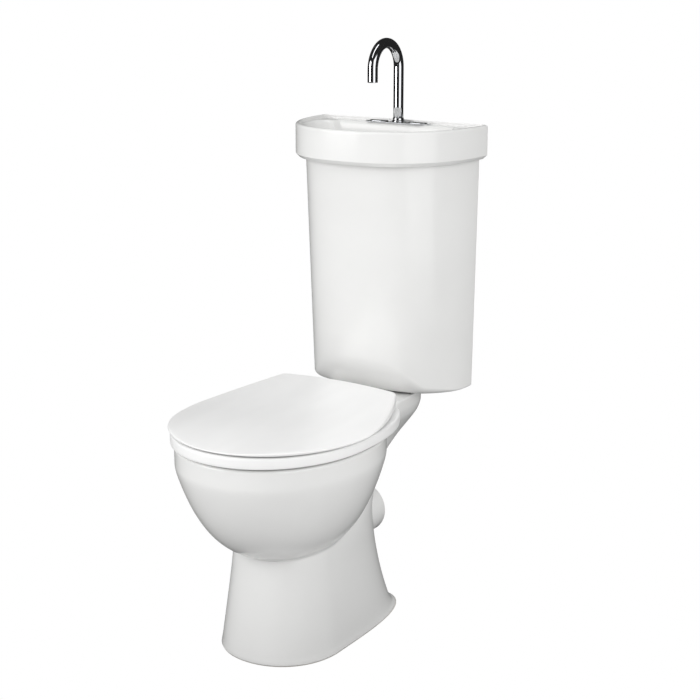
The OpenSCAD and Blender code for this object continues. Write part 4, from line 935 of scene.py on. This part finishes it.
def basin_skin():
    """Underside, skirt, collar, rim, ledge and bowl in one skin. A splined edge joins the bowl to the
    ledge."""
    low_in, low_z = arc(COLLAR_R, 90, 0, 9)[1], arc(COLLAR_R, 0, 90, 9)[0]
    top_in, top_drop = arc(BASIN_EDGE, 0, 90, 8)
    s = np.linspace(0.93, 0.3, 30)
    under = np.array([0.3, 0.55, 0.7, 0.77])
    fall = spline([(5.3, 0), (6.2, 0.0), (7.2, 0.5), (8, 2.4), (8.5, 4.4), (9.1, 5.3), (LEDGE_IN, 5.5)], 16)
    joint = s[0]
    fillet = [(1.0, 0), (0.993, 0.2), (0.98, 1.4), (0.965, 4.5), (0.95, 9.5)]
    lip = spline([*fillet, (joint, BASIN_DEEP * (1 - joint**4))], 20) * [1, -1] + [0, LEDGE_Z]
    rings = np.concatenate(
        [
            basin_inside(under, basin_rise(under) - BASIN_WALL),
            basin_inside(0.8, CISTERN_TOP),
            basin_outside(CISTERN_TOP, SKIRT_IN),
            basin_outside(SKIRT_Z + 2, SKIRT_IN),
            basin_outside(SKIRT_Z, SKIRT_IN - 2),
            basin_outside(SKIRT_Z, COLLAR_R + 0.6),
            basin_outside(SKIRT_Z + low_z, COLLAR_R - low_in),
            basin_outside(np.linspace(SKIRT_Z + 8, BASIN_TOP - 6, 8), np.zeros(8)),
            basin_outside(BASIN_TOP - top_drop, top_in),
            basin_outside(BASIN_TOP - fall[:, 1], fall[:, 0]),
            basin_inside(1.001, LEDGE_Z),
            basin_inside(lip[:, 0], lip[:, 1]),
            basin_inside(s[1:], basin_rise(s[1:])),
        ]
    )
    middle = at(BASIN_MID_D)
    return skin("basin", rings, ends=[[0, middle, BASIN_FLOOR - BASIN_WALL], [0, middle, BASIN_FLOOR]])


def basin_mesh():
    """The basin's skin, with the rebate at the wall and the holes for the waste, the spout and the
    buttons cut out."""
    half, near, far = REBATE_HALF, at(REBATE_D), at(-3)
    rebate = [(-half, near), (half, near), (half, far), (-half, far)]
    cuts = [prism("wall rebate", rebate, z=(SKIRT_Z - 2, CISTERN_TOP))]
    low, high = BASIN_FLOOR - BASIN_WALL - 1, BASIN_FLOOR + 1
    cuts.append(rod("waste hole", (0, at(BASIN_MID_D), low), (0, at(BASIN_MID_D), high), WASTE_HOLE_R))
    y, low, high = at(SPOUT_D), CISTERN_TOP - 1, LEDGE_Z + 1
    cuts.append(rod("spout hole", (0, y, low), (0, y, high), SHANK_HOLE_R))
    for x in (-BUTTON_X, BUTTON_X):
        cuts.append(rod("rod hole", (x, y, low), (x, y, high), ROD_HOLE_R, 40))
        cuts.append(prism("button well", stadium(x, SPOUT_D, WELL_L, WELL_W), z=(LEDGE_Z - WELL_DEEP, high)))
    return soften(carve(basin_skin(), cuts=cuts))


# ---------------------------------------------------------------- seat and lid


def cut_egg(a, half_w, front, sweep, bend):
    """Egg whose end is cut off by the straight back edge, with the corners rounded."""
    r = egg(a, half_w, front, sweep, 2.06, bend)
    line = SEAT_BACK / np.maximum(np.sin(a), 0.1)
    return np.where(np.sin(a) > 0.1, -soft_max(-r, -line, SEAT_CORNER), r)


def corner_rays(half_w, sweep, bend):
    """Directions crowded at the corners, where the egg's sides meet the straight back edge."""
    corner = math.atan2(SEAT_BACK, half_w * (1 - (SEAT_BACK / sweep) ** bend) ** (1 / bend))
    return rays([corner], 60, 36, 84)


def knuckle(x, reach, low, high):
    """Barrel with its pin bore and eased ends, and the web that runs forward from it."""
    h, r = KNUCKLE_W / 2, KNUCKLE_R
    profile = [(PIN_BORE_R, -h), (r - 1, -h), (r - 0.3, 0.3 - h), (r, 1 - h)]
    profile += [(r, h - 1), (r - 0.3, h - 0.3), (r - 1, h), (PIN_BORE_R, h)]
    barrel = lathe("barrel", profile, (x, at(HINGE_D), HINGE_Z), "x", 56)
    start, end = at(HINGE_D) - KNUCKLE_R + 1.5, at(HINGE_D + reach)
    web = [(x - h, start), (x - h, end), (x + h, end), (x + h, start)]
    return [barrel, prism("web", web, z=(low, high))]


def seat_mesh():
    """Ring seat: its outer and inner flanks are splined profiles of (height, inset) carried round the two
    eggs."""
    a = corner_rays(SEAT_HALF, SEAT_SWEEP, SEAT_BEND)
    t = SEAT_T
    side = [(0, 6), (0, 3), (0.5, 0.9), (3, 0), (10, 0), (16, 0.2), (19, 0.7), (20.7, 2.6)]
    outer = spline(side + [(t, 7), (t, 14), (t, 26)], 48)
    inner = spline([(t, 24), (t, 17), (19.5, 9), (13, 2.5), (5, 0), (1, 0.8), (0, 3), (0, 4)], 36)
    edge = cut_egg(a, SEAT_HALF, SEAT_FRONT, SEAT_SWEEP, SEAT_BEND)
    opening = egg(a, SEAT_HOLE_HALF, SEAT_HOLE_FRONT - SEAT_D, SEAT_D - SEAT_HOLE_REAR_D, 2.1, 2.2)
    rings = np.concatenate(
        [
            polar(a, edge - outer[:, 1:], SEAT_D, SEAT_Z + outer[:, :1]),
            polar(a, opening + inner[:, 1:], SEAT_D, SEAT_Z + inner[:, :1]),
        ]
    )
    mesh = skin("seat", rings, loop=True)
    reach, low, high = SEAT_REAR_D - HINGE_D + 12, SEAT_Z + 4, SEAT_Z + SEAT_T - 1
    adds = [part for side in (-1, 1) for part in knuckle(side * SEAT_KNUCKLE_X, reach, low, high)]
    return soften(carve(mesh, adds=adds))


def lid_top(x, y):
    """Height of the lid's top over its lower edge: a wedge that grows to the back as a square, and a
    parabolic crown across."""
    back = np.clip((y + LID_WEDGE_START) / (SEAT_BACK + LID_WEDGE_START), 0, 1)
    nose = np.where(y < 0, 1 - np.minimum(-y / SEAT_FRONT, 1) ** 3, 1)
    crown = 1 - np.minimum(np.abs(x) / LID_HALF, 1) ** 2
    return LID_SIDE + LID_WEDGE * back**2 + LID_CROWN * crown * nose


def lid_rings(inset, share=1.0, drop=0.0, scale=1.0):
    """Rings under the lid's outline, at a share of the top's height less drop, drawn in by inset and
    scaled towards the middle. The underside, which has a drop, stays over the lower edge."""
    a = corner_rays(LID_HALF, LID_SWEEP, LID_BEND)
    inset, share, scale = (np.atleast_1d(np.asarray(v, float))[:, None] for v in (inset, share, scale))
    r = scale * (cut_egg(a, LID_HALF, SEAT_FRONT - 1, LID_SWEEP, LID_BEND) - inset)
    x, y = r * np.cos(a), r * np.sin(a)
    z = LID_Z + np.maximum(share * lid_top(x, y) - drop, 1.2 if drop > 0 else 0)
    return np.stack([x, at(SEAT_D) + y, z], axis=-1)


def lid_mesh():
    """Hollow lid: underside, rim, splined edge of (inset, share of the height) and crowned top."""
    under = [(8, 0), (4, 0), (2.2, 0.03), (0.8, 0.24), (0.1, 0.5)]
    over = [(0.1, 0.74), (1.0, 0.92), (3.4, 0.99), (5, 1)]
    edge = spline(under + over, 40)
    rings = np.concatenate(
        [
            lid_rings(9, 1, LID_WALL, np.linspace(0.15, 1, 16)),
            lid_rings(edge[:, 0], edge[:, 1]),
            lid_rings(5, 1, 0, np.linspace(0.985, 0.04, 44)),
        ]
    )
    middle = LID_Z + lid_top(0, np.array(0))
    mesh = skin("lid", rings, ends=[[0, at(SEAT_D), middle - LID_WALL], [0, at(SEAT_D), middle]])
    reach, low, high = SEAT_REAR_D - HINGE_D + 5, HINGE_Z + 6, LID_Z + 12
    adds = [part for side in (-1, 1) for part in knuckle(side * LID_KNUCKLE_X, reach, low, high)]
    return soften(carve(mesh, adds=adds))


# ---------------------------------------------------------------- spout


def spout_mesh():
    """One tube up from its shank, over a half circle and down to an open end with a rounded lip, with the
    bore going back inside. Each row of the run is a wall distance, a height, a radius and a turn of the
    ring."""
    arch_r, end_z = SPOUT_REACH / 2, ARCH_Z - SPOUT_DROP
    thick = (SPOUT_R - SPOUT_BORE_R) / 2
    top = PLATE_TOP
    stem_z = np.array([SHANK_Z, top - 3, top - 0.4, top, top + 0.6, top + 30, top + 70, ARCH_Z - 0.5])
    stem_r = np.array([SHANK_R, SHANK_R, SHANK_R, 9.4, SPOUT_R, SPOUT_R, SPOUT_R, SPOUT_R])
    over, back = np.radians(np.linspace(0, 180, 72)), np.radians(np.linspace(180, 110, 24))
    lip = np.radians(np.linspace(0, 180, 9))
    lip_z = end_z + thick - thick * np.sin(lip)
    tail_z = np.concatenate([[ARCH_Z - 10, end_z + 3], lip_z, [end_z + 3, ARCH_Z - 6]])
    tail_r = np.concatenate([[SPOUT_R] * 2, SPOUT_R - thick + thick * np.cos(lip), [SPOUT_BORE_R] * 2])
    arch_d, back_d = (SPOUT_D + arch_r - arch_r * np.cos(t) for t in (over, back))
    d = np.concatenate([SPOUT_D + 0 * stem_z, arch_d, SPOUT_D + SPOUT_REACH + 0 * tail_z, back_d])
    z = np.concatenate([stem_z, ARCH_Z + arch_r * np.sin(over), tail_z, ARCH_Z + arch_r * np.sin(back)])
    r = np.concatenate([stem_r, np.full(len(over), SPOUT_R), tail_r, np.full(len(back), SPOUT_BORE_R)])
    turn = np.concatenate([0 * stem_z, over, np.full(len(tail_z), math.pi), back])
    across = np.stack([0 * turn, np.cos(turn), np.sin(turn)], axis=-1)
    path = np.stack([0 * d, at(d), z], axis=-1)
    steps = 56
    return soften(outward(sweep("spout", path, across, r, np.arange(steps) / steps * TURN)), 50)


def collar_mesh():
    """Base flange and collar of the spout: a stepped profile of (radius over the spout's, height), turned
    round it."""
    flange = [(0.05, 0), (2.2, 0), (2.5, 0.3), (2.5, 2.2), (2.2, 2.8), (1.6, 3.1)]
    collar = [(1.15, 3.5), (1, 4.2), (1, 7.2), (0.8, 7.8), (0.4, 8), (0.05, 8)]
    profile = [(SPOUT_R + r, z) for r, z in flange + collar]
    return soften(outward(lathe("collar", profile, (0, at(SPOUT_D), PLATE_TOP), "z", 72)), 50)


# ---------------------------------------------------------------- properties


class ToiletLooks(bpy.types.PropertyGroup):
    """Colours and sizes that change the look of the pieces."""

    glaze_colour: FloatVectorProperty(
        name="Glaze", description="Colour of the glazed china",
        subtype="COLOR", default=(0.86, 0.86, 0.85),
        min=0, max=1
    )
    glaze_roughness: FloatProperty(
        name="Glaze roughness", description="Base roughness of the glaze", default=0.2, min=0, max=1
    )
    glaze_wave: FloatProperty(
        name="Glaze waviness", description="Height of the slow waves in the glaze", default=0.0012,
        unit="LENGTH", min=0, max=0.01
    )
    rim_rounding: FloatProperty(
        name="Rim rounding", description="Radius of the pan's rim, in millimetres",
        default=5.0, min=4, max=10
    )
    seat_colour: FloatVectorProperty(
        name="Seat", description="Colour of the seat and lid",
        subtype="COLOR", default=(0.94, 0.94, 0.935),
        min=0, max=1
    )
    seat_roughness: FloatProperty(
        name="Seat roughness", description="Base roughness of the seat and lid",
        default=0.34, min=0, max=1
    )
    chrome_colour: FloatVectorProperty(
        name="Chrome", description="Colour of the chrome",
        subtype="COLOR", default=(0.8, 0.81, 0.83), min=0, max=1
    )
    chrome_roughness: FloatProperty(
        name="Chrome roughness", description="Base roughness of the chrome", default=0.04, min=0, max=1
    )


class ToiletStage(bpy.types.PropertyGroup):
    """Camera, floor and lights of the studio."""

    target: FloatVectorProperty(
        name="Target", description="Point that the camera looks at", subtype="TRANSLATION", unit="LENGTH",
        default=(-0.1149, 0.3106, 0.4721)
    )
    azimuth: FloatProperty(
        name="Azimuth", description="Camera's turn from the front, to the right",
        default=32.532, min=-180, max=180
    )
    elevation: FloatProperty(
        name="Elevation", description="Camera's angle over the horizon", default=14.522, min=0, max=90
    )
    distance: FloatProperty(
        name="Distance", description="From the target to the camera",
        default=3.2885, unit="LENGTH", min=1, max=20
    )
    lens: FloatProperty(
        name="Lens", description="Focal length in millimetres", default=79.87, min=20, max=300
    )
    floor_colour: FloatVectorProperty(
        name="Floor", description="Colour of the floor",
        subtype="COLOR", default=(0.72, 0.72, 0.72), min=0, max=1
    )
    horizon: FloatProperty(
        name="Horizon", description="Strength of the light from all round, level with the floor",
        default=0.3, min=0
    )
    ambient: FloatProperty(
        name="Ambient", description="Strength of the light from all round, a little higher up",
        default=1.25, min=0
    )
    overhead: FloatProperty(
        name="Overhead", description="Strength of that light straight above", default=0.45, min=0
    )
    mirrored: FloatProperty(
        name="Mirrored", description="Strength of the surroundings in reflections", default=0.02, min=0
    )
    key_power: FloatProperty(
        name="Key light", description="Power of the light from the front left",
        default=25.0, unit="POWER", min=0
    )
    fill_power: FloatProperty(
        name="Fill light", description="Power of the light from the right",
        default=27.0, unit="POWER", min=0
    )
    top_power: FloatProperty(
        name="Top light", description="Power of the light overhead", default=9.0, unit="POWER", min=0
    )


# ---------------------------------------------------------------- operators


class TOILET_OT_pan(bpy.types.Operator):
    """Makes the glazed pan over its CAD node"""

    bl_idname = "toilet.pan"
    bl_label = "Pan"

    def execute(self, context):
        mesh = pan_mesh(context.scene.toilet_looks.rim_rounding)
        place("pan_glazed", mesh, "fixture", finish("glaze"), ("pan",))
        return {"FINISHED"}


class TOILET_OT_cistern(bpy.types.Operator):
    """Makes the glazed cistern over its CAD node"""

    bl_idname = "toilet.cistern"
    bl_label = "Cistern"

    def execute(self, context):
        place("cistern_glazed", cistern_mesh(), "fixture", finish("glaze"), ("cistern",))
        return {"FINISHED"}


class TOILET_OT_basin(bpy.types.Operator):
    """Makes the glazed basin over its CAD node"""

    bl_idname = "toilet.basin"
    bl_label = "Basin"

    def execute(self, context):
        place("basin_glazed", basin_mesh(), "fixture", finish("glaze"), ("basin",))
        return {"FINISHED"}


class TOILET_OT_seat(bpy.types.Operator):
    """Makes the seat ring and its buffers"""

    bl_idname = "toilet.seat"
    bl_label = "Seat"

    def execute(self, context):
        place("seat_ring", seat_mesh(), "seat", finish("seat plastic"), ("seat",))
        buffers = finish("white plastic")
        eased_copy("seat_buffers", "seat_buffers_eased", "seat", buffers, 0.8)
        return {"FINISHED"}


class TOILET_OT_lid(bpy.types.Operator):
    """Makes the lid and its buffers"""

    bl_idname = "toilet.lid"
    bl_label = "Lid"

    def execute(self, context):
        place("lid_shell", lid_mesh(), "lid", finish("seat plastic"), ("lid",))
        buffers = finish("white plastic")
        eased_copy("lid_buffers", "lid_buffers_eased", "lid", buffers, 0.8)
        return {"FINISHED"}


class TOILET_OT_spout(bpy.types.Operator):
    """Makes the gooseneck spout and its collar"""

    bl_idname = "toilet.spout"
    bl_label = "Spout"

    def execute(self, context):
        place("spout_tube", spout_mesh(), "fixture", finish("chrome"), ("spout",))
        place("spout_collar_turned", collar_mesh(), "fixture", finish("chrome"), ("spout_collar",))
        return {"FINISHED"}


# Small pieces whose real edges are rounded: node, body, slot, finish, rounding in millimetres
EASED = [
    ("button_plate", "fixture", "chrome", "chrome", 0.7),
    ("full_flush_button", "full_flush_press", "chrome", "chrome", 0.8),
    ("half_flush_button", "half_flush_press", "chrome", "chrome", 0.8),
    ("basin_waste", "fixture", "chrome", "chrome", 0.5),
    ("hinge_posts", "fixture", "white_plastic", "white plastic", 0.8),
    # The deck pad is a real rubber cushion under the cistern. Its black also serves as painted shade,
    # darkening the gap between the cistern and the deck.
    ("deck_pad", "fixture", "rubber", "rubber", 0.4),
    ("seat_bolts", "fixture", "steel", "steel", 0.5),
    ("coupling_bolts", "fixture", "steel", "steel", 0.5),
    ("seat_bolt_nuts", "fixture", "white_plastic", "white plastic", 0.5),
    ("coupling_nuts", "fixture", "white_plastic", "white plastic", 0.5),
    ("inlet_nut", "fixture", "white_plastic", "white plastic", 0.6),
    ("inlet_valve", "fixture", "valve_plastic", "valve plastic", 0.5),
]


class TOILET_OT_fittings(bpy.types.Operator):
    """Makes the small fittings that show, with rounded edges, over their CAD nodes"""

    bl_idname = "toilet.fittings"
    bl_label = "Fittings"

    def execute(self, context):
        for node, body, slot, look, width in EASED:
            eased_copy(node, node + "_eased", body, finish(look), width)
        return {"FINISHED"}


class TOILET_OT_inner_parts(bpy.types.Operator):
    """Gives the CAD nodes that stay as they are their materials, by the record's slots"""

    bl_idname = "toilet.inner_parts"
    bl_label = "Inner parts"

    def execute(self, context):
        looks = {
            "china": "glaze",
            "white_plastic": "white plastic",
            "chrome": "chrome",
            "steel": "steel",
            "rubber": "rubber",
            "valve_plastic": "valve plastic",
            "blue_plastic": "blue plastic",
            "hose": "hose",
        }
        for part in frame["record"]["subparts"]:
            obj = frame["nodes"][part["node"]]
            material = finish(looks[part["material_slot"]])
            for slot in obj.material_slots:
                slot.link = "OBJECT"
                slot.material = material
        return {"FINISHED"}


def area_light(name, power, size, location, target):
    """Rectangular soft light that faces a point."""
    data = bpy.data.lights.new(name, "AREA")
    data.energy, data.shape = power, "RECTANGLE"
    data.size, data.size_y = size
    light = bpy.data.objects.new(name, data)
    light.location = location
    light.rotation_euler = (Vector(target) - Vector(location)).to_track_quat("-Z", "Y").to_euler()
    bpy.context.scene.collection.objects.link(light)


def floor_plane(colour):
    """Square floor, 24 m wide, that the chrome doesn't mirror."""
    reach = 12
    corners = [(-reach, -reach, 0), (reach, -reach, 0), (reach, reach, 0), (-reach, reach, 0)]
    mesh = bpy.data.meshes.new("floor")
    mesh.from_pydata(corners, [], [(0, 1, 2, 3)])
    mesh.materials.append(floor_finish(colour))
    floor = bpy.data.objects.new("floor", mesh)
    bpy.context.scene.collection.objects.link(floor)
    floor.visible_glossy = False
    return floor


def surroundings(stage):
    """White light from all round. Its strength changes from the horizon to a little higher up and on to
    straight above, and has values of its own for reflections and for the camera."""
    world = bpy.data.worlds.new("studio")
    world.use_nodes = True
    tree = world.node_tree
    background = tree.nodes["Background"]
    background.inputs["Color"].default_value = (1, 1, 1, 1)
    path = tree.nodes.new("ShaderNodeLightPath").outputs
    split = tree.nodes.new("ShaderNodeSeparateXYZ")
    tree.links.new(tree.nodes.new("ShaderNodeTexCoord").outputs["Generated"], split.inputs[0])
    up = split.outputs["Z"]
    strength = stage.horizon
    steps = [(up, 0.3, stage.ambient), (up, 1.0, stage.overhead)]
    steps += [(path["Is Glossy Ray"], 1.0, stage.mirrored), (path["Is Camera Ray"], 1.0, 1.0)]
    for source, reach, value in steps:
        step = tree.nodes.new("ShaderNodeMapRange")
        step.inputs["From Max"].default_value = reach
        step.inputs["To Max"].default_value = value
        tree.links.new(source, step.inputs["Value"])
        if isinstance(strength, float):
            step.inputs["To Min"].default_value = strength
        else:
            tree.links.new(strength, step.inputs["To Min"])
        strength = step.outputs[0]
    tree.links.new(strength, background.inputs["Strength"])
    return world


def photo_camera(stage):
    """Camera at its azimuth, elevation and distance from the target, which it faces."""
    a, e = math.radians(stage.azimuth), math.radians(stage.elevation)
    back = Vector((math.sin(a) * math.cos(e), -math.cos(a) * math.cos(e), math.sin(e)))
    data = bpy.data.cameras.new("camera")
    data.lens, data.sensor_width = stage.lens, 36
    camera = bpy.data.objects.new("camera", data)
    camera.location = Vector(stage.target) + back * stage.distance
    camera.rotation_euler = back.to_track_quat("Z", "Y").to_euler()
    bpy.context.scene.collection.objects.link(camera)
    return camera


class TOILET_OT_stage(bpy.types.Operator):
    """Makes the pale floor, the soft lights and the camera at the photograph's angle"""

    bl_idname = "toilet.stage"
    bl_label = "Stage"

    def execute(self, context):
        stage = context.scene.toilet_stage
        floor = floor_plane(tuple(stage.floor_colour))
        middle = (0, 0.05, 0.55)
        area_light("key", stage.key_power, (1.4, 1.6), (-1.4, -2.0, 1.4), middle)
        area_light("fill", stage.fill_power, (2.4, 2.8), (2.6, -0.9, 1.2), middle)
        area_light("top", stage.top_power, (0.6, 2.6), (-0.2, -0.7, 3.2), (0, 0, 0))
        context.scene.world = surroundings(stage)
        context.scene.view_settings.view_transform = "Standard"
        context.scene.camera = photo_camera(stage)
        return {"FINISHED"}


OPERATORS = [
    TOILET_OT_pan,
    TOILET_OT_cistern,
    TOILET_OT_basin,
    TOILET_OT_seat,
    TOILET_OT_lid,
    TOILET_OT_spout,
    TOILET_OT_fittings,
    TOILET_OT_inner_parts,
    TOILET_OT_stage,
]


class TOILET_PT_panel(bpy.types.Panel):
    """Lists the pieces, the looks and the stage"""

    bl_label = "Toilet"
    bl_idname = "TOILET_PT_panel"
    bl_space_type = "VIEW_3D"
    bl_region_type = "UI"
    bl_category = "Toilet"

    def draw(self, context):
        for group in (context.scene.toilet_looks, context.scene.toilet_stage):
            column = self.layout.column()
            for key in group.bl_rna.properties.keys():
                if key not in {"rna_type", "name"}:
                    column.prop(group, key)
        for operator in OPERATORS:
            self.layout.operator(operator.bl_idname)


CLASSES = [ToiletLooks, ToiletStage, *OPERATORS, TOILET_PT_panel]


def register():
    """Registers the classes and hangs their sizes and colours on the scene."""
    for cls in CLASSES:
        bpy.utils.register_class(cls)
    bpy.types.Scene.toilet_looks = PointerProperty(type=ToiletLooks)
    bpy.types.Scene.toilet_stage = PointerProperty(type=ToiletStage)


def unregister():
    """Takes back what register did, in reverse."""
    del bpy.types.Scene.toilet_stage
    del bpy.types.Scene.toilet_looks
    for cls in reversed(CLASSES):
        bpy.utils.unregister_class(cls)


def main():
    """Makes every piece and the stage."""
    register()
    for operator in OPERATORS:
        getattr(bpy.ops.toilet, operator.bl_idname.split(".")[1])()


if __name__ == "__main__":
    main()
